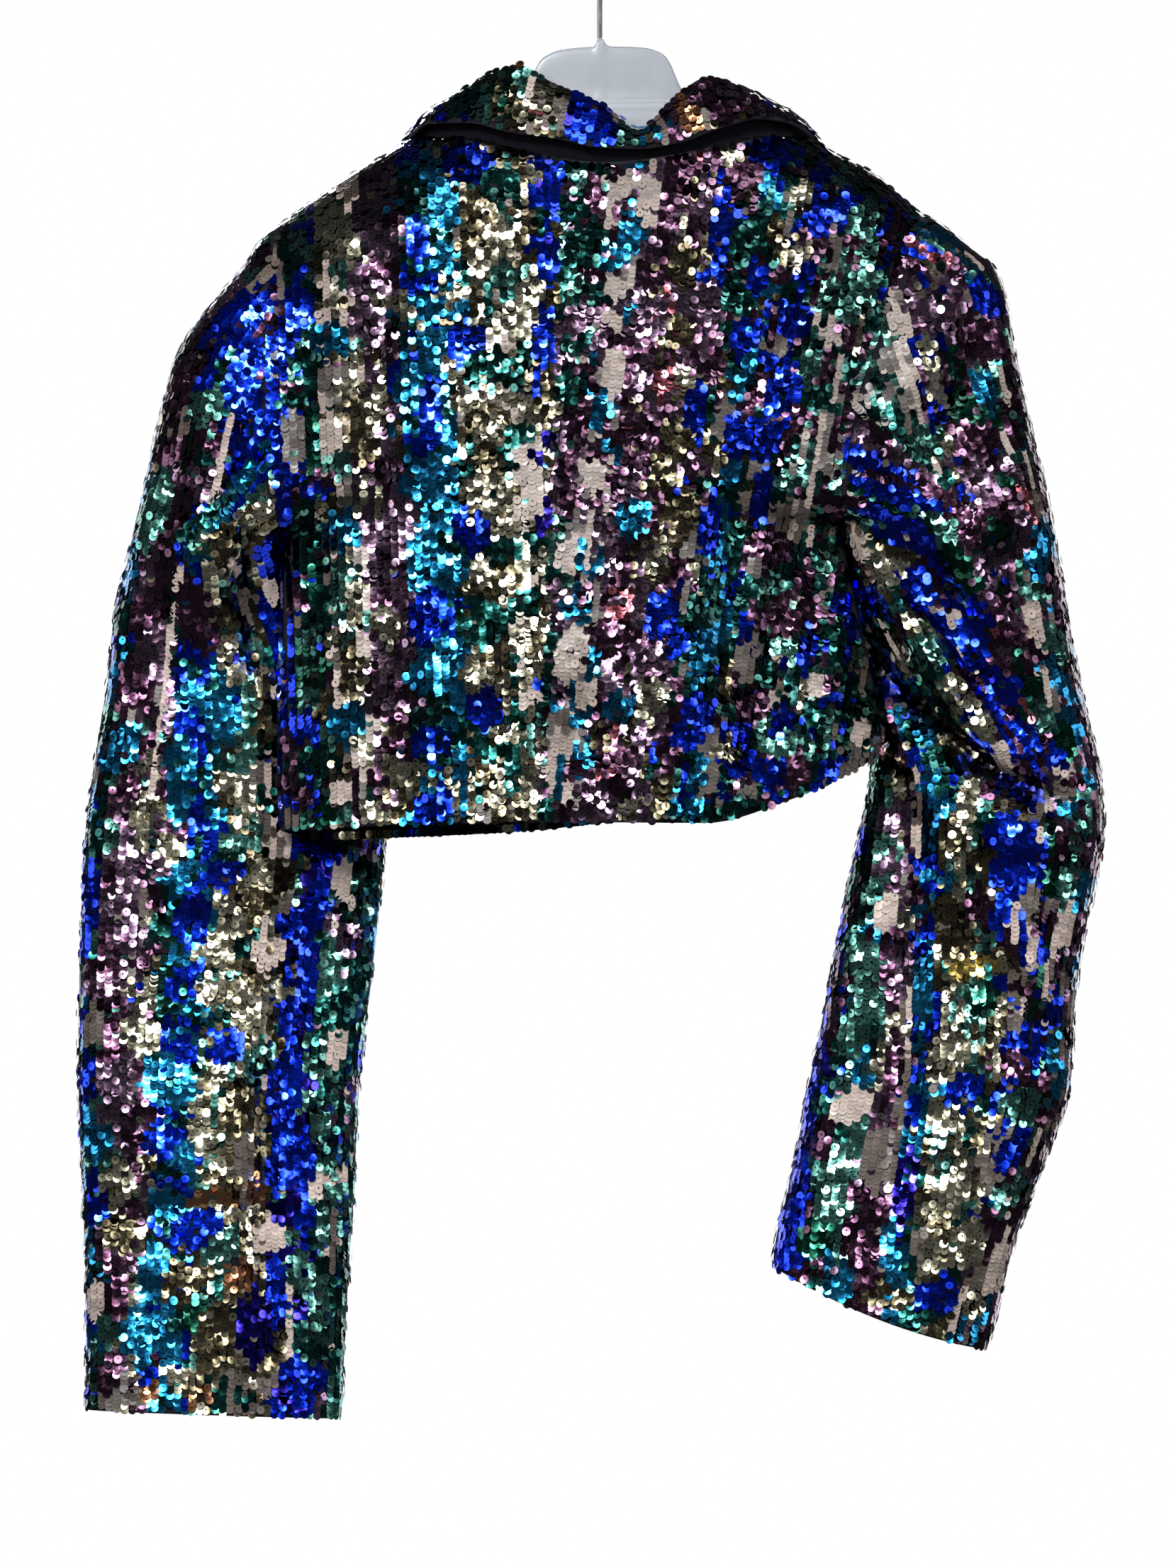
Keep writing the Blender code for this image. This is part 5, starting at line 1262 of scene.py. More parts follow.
def two_tone(tree, shader, factor, dark, light):
    """The shader's colour runs from a dark tone to a light one with a factor."""
    mix = node(tree, "ShaderNodeMix", (-300, 200), data_type="RGBA")
    mix.inputs[MIX_DARK].default_value = (*dark, 1)
    mix.inputs[MIX_LIGHT].default_value = (*light, 1)
    tree.links.new(factor, mix.inputs[0])
    tree.links.new(mix.outputs[MIX_RESULT], shader.inputs["Base Color"])


def relief(tree, shader, height, strength, depth):
    """Low relief on the shader's surface."""
    bump = node(tree, "ShaderNodeBump", (-100, -300), Strength=strength, Distance=depth)
    tree.links.new(height, bump.inputs["Height"])
    tree.links.new(bump.outputs[0], shader.inputs["Normal"])


def sequin_material(name, metallic, roughness, coat):
    """Foil of one sequin: its colour with painted light and shade, a sewn hole and a faint uneven film."""
    made, tree, shader, where = fresh(name, Metallic=metallic, Roughness=roughness, Coat_Weight=coat,
                                      Coat_Roughness=0.1, IOR=1.5)
    link = tree.links.new
    colour = node(tree, "ShaderNodeAttribute", (-900, 200), attribute_name="sequin_colour")
    disc = node(tree, "ShaderNodeUVMap", (-1300, -200), uv_map="Disc")
    hole = node(tree, "ShaderNodeVectorMath", (-1100, -100), operation="DISTANCE")
    hole.inputs[1].default_value = HOLE_MIDDLE
    link(disc.outputs[0], hole.inputs[0])
    rim, foil = HOLE_EDGE
    open_part = ranged(tree, (-900, -100), hole.outputs["Value"], From_Min=rim, From_Max=foil)
    film = texture(tree, "Noise", (-1100, -400), where, Scale=420.0, Detail=1.0)
    shade = ranged(tree, (-900, -400), film, To_Min=0.78, To_Max=1.18)
    tint = node(tree, "ShaderNodeMix", (-480, 100), data_type="RGBA", blend_type="MULTIPLY")
    tint.inputs[0].default_value = 1.0
    link(colour.outputs["Color"], tint.inputs[MIX_DARK])
    link(combined(tree, "MULTIPLY", (-700, -200), open_part, shade), tint.inputs[MIX_LIGHT])
    link(tint.outputs[MIX_RESULT], shader.inputs["Base Color"])
    return made


def cloth_material(name, colour, roughness, sheen, scale, depth):
    """A dark woven cloth with its threads in colour and relief."""
    made, tree, shader, where = fresh(name, Roughness=roughness, Sheen_Weight=sheen, Sheen_Roughness=0.45,
                                      Specular_IOR_Level=0.14, IOR=1.45)
    warp, weft = (
        texture(tree, "Wave", place, where, bands_direction=way, Scale=scale, Distortion=0.6)
        for way, place in (("X", (-1000, 200)), ("Z", (-1000, -100)))
    )
    threads = combined(tree, "MULTIPLY", (-760, 60), warp, weft)
    patch = texture(tree, "Noise", (-1000, -400), where, Scale=22.0, Detail=4.0)
    both = combined(tree, "ADD", (-560, -60), threads, patch)
    share = combined(tree, "MULTIPLY", (-400, 60), both, 0.6)
    two_tone(tree, shader, share, tone(colour, 0.55), tone(colour, 2.2))
    relief(tree, shader, threads, 0.5, depth)
    return made


def plastic_material(colour):
    """Pale moulded plastic: cloudy, slightly rippled."""
    made, tree, shader, where = fresh("hanger plastic", Roughness=0.36, IOR=1.46, Subsurface_Weight=0.12,
                                      Subsurface_Scale=0.004, Coat_Weight=0.15, Coat_Roughness=0.25)
    cloud = texture(tree, "Noise", (-850, 150), where, Scale=26.0, Detail=3.0)
    ripple = texture(tree, "Noise", (-850, -150), where, Scale=90.0, Detail=2.0)
    two_tone(tree, shader, cloud, tone(colour, 0.86), tone(colour, 1.1))
    relief(tree, shader, ripple, 0.25, 0.0006)
    return made


def metal_material(colour):
    """Bright wire with small dull spots."""
    made, tree, shader, where = fresh("hook wire", Metallic=1.0, IOR=1.5)
    spots = texture(tree, "Noise", (-850, 150), where, Scale=70.0, Detail=2.0)
    two_tone(tree, shader, spots, tone(colour, 0.8), tone(colour, 1.25))
    dull = ranged(tree, (-450, -150), spots, To_Min=0.12, To_Max=0.28)
    tree.links.new(dull, shader.inputs["Roughness"])
    return made


def button_material(colour):
    """Black button with a faint swirl."""
    made, tree, shader, where = fresh("button", Roughness=0.22, IOR=1.5, Coat_Weight=0.4, Coat_Roughness=0.1)
    swirl = texture(tree, "Noise", (-850, 0), where, Scale=160.0, Detail=2.0, Distortion=1.5)
    two_tone(tree, shader, swirl, colour, tone(colour, 3, 0.01))
    return made


def floor_material():
    """Pale ground, very faintly uneven."""
    made, tree, shader, _ = fresh("studio floor", Roughness=0.6)
    grain = node(tree, "ShaderNodeTexNoise", (-600, 0), Scale=14.0, Detail=4.0)
    two_tone(tree, shader, grain.outputs["Fac"], (0.74, 0.74, 0.73), (0.82, 0.82, 0.81))
    return made


def mesh_object(name, points, faces, materials, slots=None):
    """An object from arrays of points in metres and of faces with one number of corners."""
    mesh = bpy.data.meshes.new(name)
    corners = faces.shape[1]
    mesh.vertices.add(len(points))
    mesh.vertices.foreach_set("co", np.ascontiguousarray(points, dtype=np.float32).ravel())
    mesh.loops.add(faces.size)
    mesh.loops.foreach_set("vertex_index", np.ascontiguousarray(faces, dtype=np.int32).ravel())
    mesh.polygons.add(len(faces))
    mesh.polygons.foreach_set("loop_start", np.arange(0, faces.size, corners, dtype=np.int32))
    for made in materials:
        mesh.materials.append(made)
    if slots is not None:
        mesh.polygons.foreach_set("material_index", np.ascontiguousarray(slots, dtype=np.int32))
    mesh.update(calc_edges=True)
    mesh.shade_smooth()
    made = bpy.data.objects.new(name, mesh)
    bpy.context.scene.collection.objects.link(made)
    return made


def round_fan(sides, rise):
    """Points and faces of a unit disc: a middle point, and a rim that stands over it."""
    turn = np.linspace(0, 2 * math.pi, sides, endpoint=False)
    rim = np.stack([np.cos(turn), np.sin(turn), np.full(sides, rise)], axis=1)
    ring = np.arange(1, sides + 1)
    return np.concatenate([np.zeros((1, 3)), rim]), np.stack([0 * ring, ring, np.roll(ring, -1)], axis=1)


def closed_piece(name, points, faces, finish):
    """A closed piece from points in millimetres: faces turned out, smooth but for its sharp edges."""
    mesh = bpy.data.meshes.new(name)
    mesh.from_pydata((points * MM).tolist(), [], faces)
    mesh.materials.append(finish)
    bm = bmesh.new()
    bm.from_mesh(mesh)
    bmesh.ops.recalc_face_normals(bm, faces=bm.faces)
    bm.to_mesh(mesh)
    bm.free()
    mesh.shade_smooth()
    mesh.set_sharp_from_angle(angle=SHARP_EDGE)
    made = bpy.data.objects.new(name, mesh)
    bpy.context.scene.collection.objects.link(made)
    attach(made, "root")
    return made


def lengths_along(line):
    """Distance along a line to each of its points."""
    return np.concatenate([[0], np.cumsum(np.linalg.norm(np.diff(line, axis=0), axis=1))])


def read_line(at, gone, line):
    """Points, or ways, of a line at distances along it."""
    return np.stack([np.interp(at, gone, line[:, axis]) for axis in range(3)], axis=1)


def columns_on(points, ways, keys, solid, targets):
    """Where lines of constant key cross each row: places, ways and which of them lie on the cloth."""
    places = np.zeros((*targets.shape, 3))
    out = np.zeros((*targets.shape, 3))
    there = np.zeros(targets.shape, dtype=bool)
    for j, wanted in enumerate(targets):
        order = np.argsort(keys[j])
        across = keys[j][order]
        places[j] = read_line(wanted, across, points[j, order])
        out[j] = read_line(wanted, across, ways[j, order])
        held = np.interp(wanted, across, solid[j, order].astype(float))
        there[j] = (wanted > across[0]) & (wanted < across[-1]) & (held > ON_CLOTH)
    return places, out, there


def sew(points, ways, keys, solid, pitch, row_pitch, rng):
    """Sequins along every string: their places, ways down and out, and string numbers."""
    low, high = keys[solid].min(), keys[solid].max()
    targets = np.arange(math.ceil(low / pitch), math.floor(high / pitch) + 1) * pitch
    targets = np.broadcast_to(targets, (len(points), len(targets)))
    first = np.where(solid, keys, np.inf).min(axis=1) + SEAM_STRING
    last = np.where(solid, keys, -np.inf).max(axis=1) - SEAM_STRING
    beside = (targets > first[:, None] + SEAM_STRING) & (targets < last[:, None] - SEAM_STRING)
    targets = np.concatenate([targets, first[:, None], last[:, None]], axis=1)
    places, out, there = columns_on(points, ways, keys, solid, targets)
    there[:, :-2] &= beside
    found = []
    for c in range(targets.shape[1]):
        rows = np.flatnonzero(there[:, c])
        for run in np.split(rows, np.flatnonzero(np.diff(rows) > 1) + 1):
            if len(run) < 2:
                continue
            line = places[run, c]
            gone = lengths_along(line)
            if gone[-1] < row_pitch:
                continue
            start, end = rng.uniform(*STRING_START) * row_pitch, gone[-1] - STRING_END * row_pitch
            at = np.arange(start, end, row_pitch)
            at = at + rng.uniform(-ROW_JITTER, ROW_JITTER, len(at)) * row_pitch
            ahead, behind = (read_line(at + step, gone, line) for step in (DOWN_REACH, -DOWN_REACH))
            string = np.round(np.interp(at, gone, targets[run, c]) / pitch)
            way = read_line(at, gone, out[run, c])
            found.append((read_line(at, gone, line), unit(ahead - behind), unit(way), string))
    return [np.concatenate(parts) for parts in zip(*found)]


def band_of(bands, across):
    """The finish numbers and cumulative shares of the band at a place across the cloth."""
    words = next((text for end, text in bands if across < end), bands[-1][1]).split()
    shares = np.cumsum([float(word) for word in words[1::2]])
    return [FINISH_NUMBER[word] for word in words[::2]], shares / shares[-1]


def picked(look, chance):
    """The finish that a chance from 0 to 1 picks in a band."""
    finishes, shares = look
    return finishes[int(np.searchsorted(shares, chance))]


def paint(cloth, string, middle, reach, half, finish, rng):
    """Give a lozenge of strings one finish. The ends of its strings are staggered."""
    stagger = rng.normal(0, PATCH_STAGGER, 2 * reach + 1)
    for k, shift in zip(range(-reach, reach + 1), stagger):
        if 0 <= string + k < len(cloth):
            length = half * (1 - LOZENGE_TAPER * abs(k) / (reach + 1))
            start, end = (max(0, int(middle + side * length + shift)) for side in (-1, 1))
            cloth[string + k, start:end] = finish


def finishes_of(bands, spots, pitch, rng):
    """Finish of each sequin: overlapping patches in each band's finishes, the marks, and a few strays."""
    place, _, out, string = spots
    down = -place[:, 2]
    first, top = string.min(), down.min()
    count, length = int(string.max() - first) + 1, int(down.max() - top) + 2
    looks = [band_of(bands, (first + k) * pitch) for k in range(count)]
    cells = length // GROUND_PATCH + 1
    cloth = np.array([np.repeat([picked(look, chance) for chance in rng.random(cells)], GROUND_PATCH)
                      for look in looks])
    area = PATCH_MEAN * 2 * PATCH_HALF * (PATCH_REACH + 1) * pitch
    for _ in range(int(PATCH_COVER * count * pitch * length / area)):
        k = int(rng.integers(0, count))
        finish = picked(looks[k], rng.random())
        reach = int(rng.integers(0, PATCH_REACH + (finish < FIRST_MATTE)))
        half = PATCH_HALF * rng.uniform(*PATCH_LENGTHS)
        paint(cloth, k, rng.uniform(0, length), reach, half, finish, rng)
    shown = np.flatnonzero(out[:, 1] < SEEN_FROM_BACK)
    for mark in MARKS.split(",") if len(shown) else ():
        *numbers, finish = mark.split()
        x, drop, reach, half = map(int, numbers)
        away = np.hypot(place[shown, 0] - x, down[shown] - drop)
        if away.min() < pitch:
            near = string[shown[int(np.argmin(away))]]
            paint(cloth, int(near - first), drop - top, reach, half, FINISH_NUMBER[finish], rng)
    number = cloth[(string - first).astype(int), (down - top).astype(int)]
    for k in np.flatnonzero(rng.random(len(number)) < STRAY):
        number[k] = picked(looks[int(string[k] - first)], rng.random())
    return number


def twist_of(string, down, rng):
    """Slow turn of the strings, from -2 to 2 or so, alike on neighbouring strings."""
    first, top = string.min(), down.min()
    cells = np.arange(0, down.max() - top + 2 * TWIST_EVERY, TWIST_EVERY)
    loose = rng.normal(0, 1, (int(string.max() - first) + 5, len(cells)))
    far, near, own = TWIST_SHARES
    smooth = (loose[:-4] + loose[4:]) * far + (loose[1:-3] + loose[3:-1]) * near + loose[2:-2] * own
    twist = np.zeros(len(string))
    for k, row in enumerate(smooth):
        here = string - first == k
        twist[here] = np.interp(down[here] - top, cells, row)
    return twist


def turned(one, other, angle):
    """Two ways at right angles, both turned in their own plane."""
    along, across = np.cos(angle)[:, None], np.sin(angle)[:, None]
    return one * along + other * across, other * along - one * across


def tone_and_painted_light(name, place, out, string, rng):
    """How light each sequin is: own share, slow patches, painted panel light and shade, painted crease
    shade.
    """
    down = -place[:, 2]
    shade = rng.uniform(*SHADE_SPREAD, len(place)) * (1 + TONE * twist_of(string, down, rng))
    # Painted light and shade by panel and drop.
    shade = shade.clip(*SHADE_LIMITS) * np.interp(down, *PANEL_PAINTED_LIGHT.get(name, NO_PAINTED_LIGHT))
    # Painted shade: sequin colours in deep sleeve creases are darkened.
    if name in SHADED_CREASE_FOLDS:
        start, full = CREASE
        depth = fold_height(SHADED_CREASE_FOLDS[name], place[:, 0], down) * (out[:, 1] < 0)
        shade = shade * (1 - CREASE_PAINTED_SHADE * np.clip((start - depth) / (start - full), 0, 1))
    return shade[:, None]


def sequins(name, spots, bands):
    """One joined mesh of a panel's sequins. spots is what sew returns."""
    piece = "sequins_" + name
    props = bpy.context.scene.blazer_sequins
    rng = np.random.default_rng(props.seed + sum(map(ord, piece)))
    kinds = finishes_of(bands, spots, props.column_pitch / MM, rng)
    kept = rng.random(len(kinds)) > MISSING * (kinds < FIRST_MATTE)
    place, along, out, string, kinds = (part[kept] for part in (*spots, kinds))
    down, count = -place[:, 2], len(place)
    colour, tumble, matte = (
        np.array([row[k] for row in SEQUIN_FINISHES], dtype=float)[kinds] for k in (1, 2, 3)
    )

    # Foil sequins tilt, slip and lift. Matte ones lie nearly flat, and so do all on the shoulders and sides.
    foil = 1 - MATTE_CALM * matte
    steep = 1 - LAID_FLAT * np.clip(out[:, 2], 0, 1)
    steep = steep * (SIDE_FLAT + (1 - SIDE_FLAT) * np.abs(out[:, 1]))
    share = props.loose_back if name in LOOSE_PANELS else props.loose
    loose = rng.random(count) < share * foil * (1 + LOOSE_PATCHES * twist_of(string, down, rng))
    tumble = np.radians(tumble) * np.where(loose, LOOSE_TUMBLE, 1)
    lean = props.lean + twist_of(string, down, rng) * props.twist * foil + rng.normal(0, 1, count) * tumble
    roll = twist_of(string, down, rng) * props.twist * foil + rng.normal(0, 1, count) * tumble
    side = unit(np.cross(along, out))
    up = unit(-along + out * np.sum(along * out, axis=1, keepdims=True))
    face, high = turned(out, up, lean * steep)
    face, wide = turned(face, side, roll * steep)

    radius = (props.diameter / 2 * rng.uniform(*SIZE_SPREAD, count))[:, None, None]
    slip = rng.normal(0, LOOSE_SHIFT, (2, count, 1)) * loose[:, None]
    lift = props.lift + rng.uniform(*LIFT_SPREAD, count) * foil + rng.uniform(*LOOSE_LIFT, count) * loose
    centre = place * MM + out * lift[:, None] + side * slip[0] + up * slip[1]
    local, fan = round_fan(props.sides, 1)
    points = centre[:, None] + (
        wide[:, None] * local[None, :, :1] * radius
        + high[:, None] * local[None, :, 1:2] * radius
        + face[:, None] * local[None, :, 2:] * props.cup
    )
    corners = len(local)
    faces = (np.arange(count)[:, None, None] * corners + fan[None]).reshape(-1, 3)
    finishes = [sequin_material(*look) for look in SEQUIN_LOOKS]
    made = mesh_object(piece, points.reshape(-1, 3), faces, finishes, np.repeat(matte, props.sides))

    # The colours carry painted light and shade: by panel and drop, and in creases.
    colour = np.concatenate([colour * tone_and_painted_light(name, place, out, string, rng), np.ones((count, 1))], axis=1)
    layer = made.data.color_attributes.new("sequin_colour", "FLOAT_COLOR", "POINT")
    layer.data.foreach_set("color", np.repeat(colour, corners, axis=0).astype(np.float32).ravel())
    disc = (local[:, :2] * 0.5 + 0.5)[faces.reshape(-1) % corners]
    cells = math.ceil(math.sqrt(count))
    cell = np.stack([np.arange(count) % cells, np.arange(count) // cells], axis=1)
    own = (cell[faces.reshape(-1) // corners] + BAKE_MARGIN + (1 - 2 * BAKE_MARGIN) * disc) / cells
    for title, values in (("Disc", disc), ("OFBake", own)):
        made.data.uv_layers.new(name=title).uv.foreach_set("vector", values.astype(np.float32).ravel())
    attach(made, "root")
    return made


def shell(name, panel, thick, cloth):
    """Thin closed cloth: the panel's skin, a second one its thickness further in, and the rim."""
    count = len(panel.points)
    near = panel.points - SHELL_INSET * panel.ways
    far = panel.points - (SHELL_INSET + thick) * panel.ways
    faces = [face[::-1] if np.dot(panel.face_way(face), way) < 0 else face
             for face, way in zip(panel.faces, panel.face_ways)]
    faces += [tuple(k + count for k in reversed(face)) for face in faces]
    faces += [(second, first, first + count, second + count) for first, second, _ in panel.edges]
    return closed_piece(name, np.concatenate([near, far]), faces, cloth)


FORMS = {}


def forms():
    """The cloth panels, made once."""
    if not FORMS:
        FORMS.update(body_panels())
        FORMS["lapel_left"] = lapel_panel(FORMS["front_left"], NECK_LEFT, LAP_LEFT, LAPEL_LEFT)
        FORMS["lapel_right"] = lapel_panel(FORMS["front_right"], NECK_RIGHT, LAP_RIGHT, LAPEL_RIGHT)
        FORMS["collar_fall"], FORMS["collar_stand"] = collar_panels(FORMS)
    return FORMS


def hem_turn(points, ways, thick, pitch):
    """The row of sequins that a front's hem turns in, along its inside, as sew returns them."""
    edge, out = points[-1], -unit(ways[-1])
    up = unit(points[-2] - edge)
    gone = lengths_along(edge)
    at = np.arange(HEM_TURN, gone[-1] - HEM_TURN, HEM_SPACING)
    place, up, out = (read_line(at, gone, line) for line in (edge, up, out))
    place = place + up * HEM_TURN + out * (SHELL_INSET + thick)
    return place, -unit(up), unit(out), np.round(place[:, 0] / pitch)


def clear_of_button(spots):
    """Leave out the sequins under the button and against its rim."""
    low, high = (np.array(corner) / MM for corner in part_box("button"))
    middle, room = (low + high) / 2, (high - low)[0] / 2 + BUTTON_ROOM
    place, _, out, _ = spots
    away = np.hypot(place[:, 0] - middle[0], place[:, 2] - middle[2])
    kept = (away > room) | (out[:, 1] < 0)
    return [part[kept] for part in spots]


def dress(name, bands, keys_of):
    """Shell of one panel in backing cloth, with sequins if it has bands, in place of the CAD node."""
    props = bpy.context.scene.blazer_sequins
    cloth = bpy.context.scene.blazer_cloth
    panel = forms()[name]
    thick, pitch = cloth.thickness / MM, props.column_pitch / MM
    backing = cloth_material("backing cloth", cloth.backing, 0.85, 0.04, 900.0, 0.0002)
    piece = shell("cloth_" + name, panel, thick, backing)
    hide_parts(name)
    if bands:
        points = panel.grid
        ways = np.zeros_like(points)
        ways[panel.present] = panel.ways
        rng = np.random.default_rng(props.seed + len(name))
        spots = sew(points, ways, keys_of(points), panel.present, pitch, props.row_pitch / MM, rng)
        if name.startswith("front"):
            rows = zip(clear_of_button(spots), hem_turn(points, ways, thick, pitch))
            spots = [np.concatenate(parts) for parts in rows]
        sequins(name, spots, bands)
    length = float(np.ptp(panel.points, axis=0).max()) * MM
    return piece


def arc_keys(points, middle):
    """Distance along each row from a column."""
    gone = np.array([lengths_along(row) for row in points])
    return gone - gone[:, middle:middle + 1]


def left_keys(points):
    """Strings on the left of the back, by where they start at the neck."""
    return points[..., 0] - LEFT_LEAN * (-points[..., 2] - CENTRE_BACK_TOP)


def right_keys(points):
    """Strings on the right of the back, which is pulled askew and fans out."""
    x, down = points[..., 0], -points[..., 2] - CENTRE_BACK_TOP
    return x + (RIGHT_LEAN + RIGHT_FAN * x) * down


def front_keys(points):
    """Strings on the fronts hang straight."""
    return points[..., 0]


def upper_keys(points):
    """Strings on an upper sleeve follow its outer edge."""
    return arc_keys(points, UPPER_COLUMNS // 2)


def under_keys(points):
    """Strings on an under sleeve follow a line down its back."""
    return arc_keys(points, points.shape[1] // 3)


def collar_keys(points):
    """Strings on the collar's leaf run across it, from the fold to its edge."""
    return arc_keys(points, points.shape[1] // 2)


def right_under_keys(points):
    """Strings on the right under sleeve swing out with the turned upper arm, down to the elbow."""
    swing = np.clip(-points[..., 2] - SWING_START, 0, SWING_LENGTH) * SWING
    spread = np.clip(-points[..., 2] - SPREAD_START, 0, None) * SPREAD
    return under_keys(points) + swing + spread


class BLAZER_OT_body(bpy.types.Operator):
    """Cloth and sequins of the back and the fronts"""
    bl_idname = "blazer.body"
    bl_label = "Back and fronts"

    def execute(self, context):
        """Dresses the four body panels."""
        dress("back_left", BACK_LEFT_BANDS, left_keys)
        dress("back_right", BACK_RIGHT_BANDS, right_keys)
        dress("front_left", FRONT_BANDS, front_keys)
        dress("front_right", FRONT_BANDS, front_keys)
        return {"FINISHED"}


class BLAZER_OT_sleeves(bpy.types.Operator):
    """Cloth and sequins of the two-piece sleeves"""
    bl_idname = "blazer.sleeves"
    bl_label = "Sleeves"

    def execute(self, context):
        """Dresses the upper and under sleeves."""
        dress("sleeve_left_upper", UPPER_LEFT_BANDS, upper_keys)
        dress("sleeve_left_under", UNDER_LEFT_BANDS, under_keys)
        dress("sleeve_right_upper", UPPER_RIGHT_BANDS, upper_keys)
        dress("sleeve_right_under", UNDER_RIGHT_BANDS, right_under_keys)
        return {"FINISHED"}


class BLAZER_OT_collar(bpy.types.Operator):
    """Collar leaf, plain stand and revers"""
    bl_idname = "blazer.collar"
    bl_label = "Collar and revers"

    def execute(self, context):
        """Dresses the collar's leaf, its stand and the revers."""
        dress("collar_fall", COLLAR_BANDS, collar_keys)
        stand = dress("collar_stand", None, None)
        dress("lapel_left", FRONT_BANDS, front_keys)
        dress("lapel_right", FRONT_BANDS, front_keys)
        cloth = context.scene.blazer_cloth
        stand.data.materials[0] = cloth_material("stand cloth", cloth.stand, 0.95, 0.0, 1300.0, 0.00015)
        return {"FINISHED"}


def hanger_section(distance, side):
    """One closed, rounded section of the hanger, in its own upright plane."""
    top, ledge, bottom, plate, arm = (float(HANGER.read(c, distance)) for c in HANGER.columns[1:])
    middle = (ledge + bottom) / 2
    high, over, under = ledge - top, middle - ledge, bottom - middle
    # Half depth and drop of each corner, from the plate's top edge over the ledge to the arm's underside.
    half = [
        (0.0, top), (plate * 0.7, top + 0.1), (plate, top + min(1.8, high * 0.45)),
        (plate, (top + ledge) / 2), (plate, ledge - high * 0.12), (plate + 0.6 * (arm - plate), ledge),
        (arm * 0.97, ledge + over * 0.3), (arm, middle), (arm * 0.87, middle + under * 0.6),
        (arm * 0.5, bottom - under * 0.1), (0.0, bottom),
    ]
    ring = np.array(half + [(-y, low) for y, low in half[-2:0:-1]])
    for _ in range(HANGER_CUTS):
        after = np.roll(ring, -1, axis=0)
        ring = np.stack([0.75 * ring + 0.25 * after, 0.25 * ring + 0.75 * after], axis=1).reshape(-1, 2)
    x = side * distance
    turn, lean = math.cos(HANGER_TILT), math.sin(HANGER_TILT)
    across = HANGER_MIDDLE * min(1, distance / HANGER_BOSS) + x * turn
    return np.stack([np.full(len(ring), across), ring[:, 0], -(ring[:, 1] - x * lean)], axis=1)


def hanger_moulding(finish):
    """The moulded hanger, lofted through rounded sections from one tip to the other."""
    last = HANGER.data[-1, 0]
    distances = last * np.linspace(0, 1, HANGER_STATIONS + 1) ** HANGER_CROWDING
    stations = [(-1, d) for d in distances[:0:-1]] + [(1, d) for d in distances]
    rings = np.array([hanger_section(distance, side) for side, distance in stations])
    count = rings.shape[1]
    grid = np.arange(len(stations) * count).reshape(len(stations), count)
    beside = np.roll(grid, -1, axis=1)
    quads = np.stack([grid[:-1], beside[:-1], beside[1:], grid[1:]], axis=2).reshape(-1, 4)
    points = np.concatenate([rings.reshape(-1, 3), rings[[0, -1]].mean(axis=1)])
    tips = [np.stack([ring, np.roll(ring, -1), np.full(count, len(points) - 2 + k)], axis=1)
            for k, ring in enumerate((grid[0][::-1], grid[-1]))]
    made = closed_piece("hanger_moulding", points, quads.tolist() + np.concatenate(tips).tolist(), finish)
    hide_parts("hanger_body")


def wear(name, finish):
    """Put a material on a CAD node."""
    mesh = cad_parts[name].data
    mesh.materials.clear()
    mesh.materials.append(finish)


class BLAZER_OT_hanger(bpy.types.Operator):
    """Rounded hanger, and the finish of its hook and of the button"""
    bl_idname = "blazer.hanger"
    bl_label = "Hanger and button"

    def execute(self, context):
        """Makes the moulded hanger and gives the hook and the button their materials."""
        props = context.scene.blazer_hanger
        hanger_moulding(plastic_material(props.plastic))
        wear("hanger_hook", metal_material(props.hook))
        wear("button", button_material(props.button))
        return {"FINISHED"}


def studio_floor():
    """A round pale floor, well below the blazer."""
    points, faces = round_fan(FLOOR_SIDES, 0)
    return mesh_object("floor", points * FLOOR_RADIUS + (0, 0, FLOOR), faces, [floor_material()])


def lamp(name, place, aim, size, power):
    """A soft box, aimed at a point."""
    light = bpy.data.lights.new(name, "AREA")
    light.shape = "RECTANGLE"
    light.size, light.size_y = size
    light.energy = power
    made = bpy.data.objects.new(name, light)
    made.location = place
    made.rotation_mode = "QUATERNION"
    made.rotation_quaternion = (Vector(aim) - Vector(place)).to_track_quat("-Z", "Y")
    bpy.context.scene.collection.objects.link(made)


def surroundings():
    """White to the camera, and a dim cool light to everything else."""
    world = bpy.data.worlds.new("studio")
    world.use_nodes = True
    tree = world.node_tree
    tree.nodes.clear()
    path = node(tree, "ShaderNodeLightPath", (-400, 200))
    seen = node(tree, "ShaderNodeBackground", (-200, 0), Color=(1, 1, 1, 1), Strength=1.0)
    lit = node(tree, "ShaderNodeBackground", (-200, -150), Color=(0.80, 0.84, 0.90, 1), Strength=0.07)
    pick = node(tree, "ShaderNodeMixShader", (50, 0))
    out = node(tree, "ShaderNodeOutputWorld", (250, 0))
    for socket, source in enumerate((path.outputs["Is Camera Ray"], lit.outputs[0], seen.outputs[0])):
        tree.links.new(source, pick.inputs[socket])
    tree.links.new(pick.outputs[0], out.inputs[0])
    return world


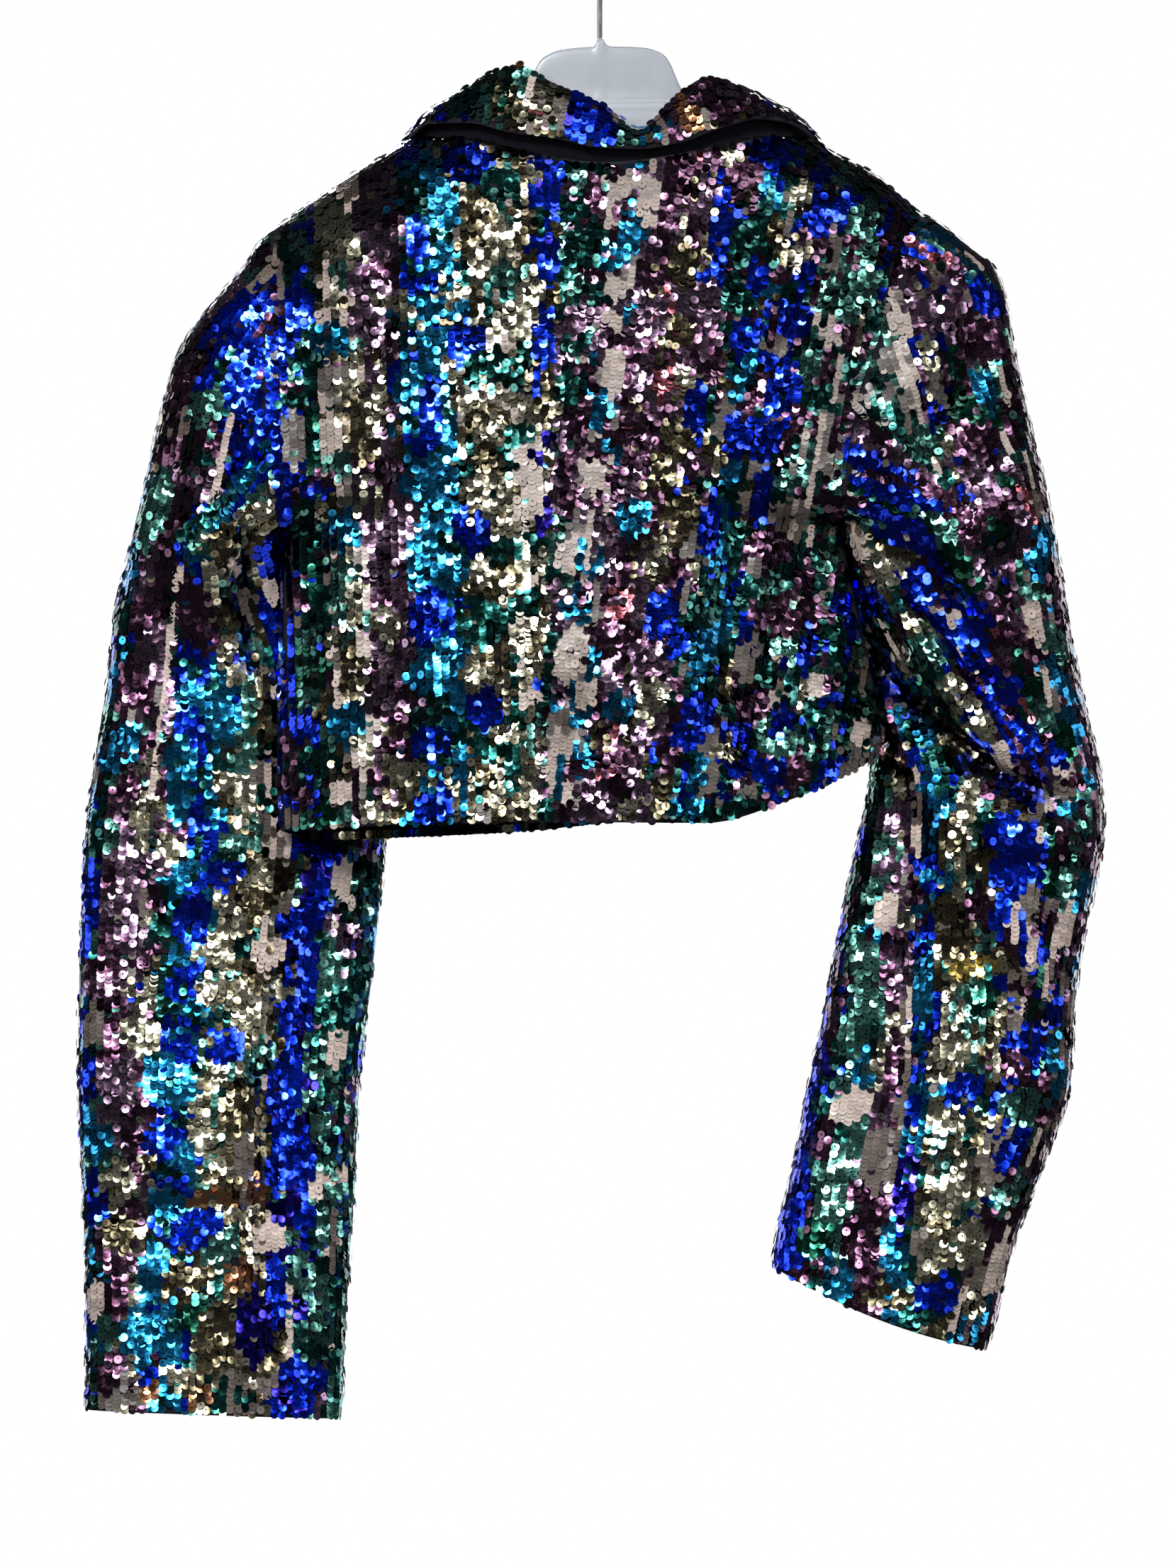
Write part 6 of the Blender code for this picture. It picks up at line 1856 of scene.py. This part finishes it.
def photograph_camera():
    """The camera at the photograph's angle, far enough away for the photograph's flat view."""
    camera = bpy.data.cameras.new("camera")
    camera.sensor_fit = "VERTICAL"
    camera.sensor_height = SENSOR
    camera.sensor_width = SENSOR
    camera.lens = SENSOR * CAMERA_DISTANCE / FRAME_SPAN
    made = bpy.data.objects.new("camera", camera)
    made.location = (FRAME_MIDDLE[0], -CAMERA_DISTANCE, FRAME_MIDDLE[1])
    made.rotation_euler = (math.pi / 2, 0, 0)
    bpy.context.scene.collection.objects.link(made)
    return made


class BLAZER_OT_stage(bpy.types.Operator):
    """Pale floor, soft studio light and the camera of the photograph"""
    bl_idname = "blazer.stage"
    bl_label = "Stage"

    def execute(self, context):
        """Makes the floor, the lights, the surroundings and the camera."""
        studio_floor()
        for row in LAMPS:
            lamp(*row)
        scene = context.scene
        scene.world = surroundings()
        scene.view_settings.view_transform = "Standard"
        scene.camera = photograph_camera()
        return {"FINISHED"}


class BLAZER_PT_panel(bpy.types.Panel):
    """Sizes, colours and steps of the blazer"""
    bl_label = "Blazer"
    bl_idname = "BLAZER_PT_panel"
    bl_space_type = "VIEW_3D"
    bl_region_type = "UI"
    bl_category = "Blazer"

    def draw(self, context):
        """Lists the properties and the steps."""
        scene = context.scene
        for group in (scene.blazer_sequins, scene.blazer_cloth, scene.blazer_hanger):
            box = self.layout.box()
            for name in group.__annotations__:
                box.prop(group, name)
        for step in STEPS:
            self.layout.operator(step.bl_idname)


STEPS = (BLAZER_OT_body, BLAZER_OT_sleeves, BLAZER_OT_collar, BLAZER_OT_hanger, BLAZER_OT_stage)
CLASSES = (BlazerSequins, BlazerCloth, BlazerHanger, *STEPS, BLAZER_PT_panel)


def register():
    """Registers the classes and the scene's properties."""
    for kind in CLASSES:
        bpy.utils.register_class(kind)
    bpy.types.Scene.blazer_sequins = PointerProperty(type=BlazerSequins)
    bpy.types.Scene.blazer_cloth = PointerProperty(type=BlazerCloth)
    bpy.types.Scene.blazer_hanger = PointerProperty(type=BlazerHanger)


def unregister():
    """Takes them out again."""
    del bpy.types.Scene.blazer_hanger
    del bpy.types.Scene.blazer_cloth
    del bpy.types.Scene.blazer_sequins
    for kind in reversed(CLASSES):
        bpy.utils.unregister_class(kind)


def main():
    """Runs the steps in order."""
    register()
    bpy.ops.blazer.body()
    bpy.ops.blazer.sleeves()
    bpy.ops.blazer.collar()
    bpy.ops.blazer.hanger()
    bpy.ops.blazer.stage()


if __name__ == "__main__":
    main()
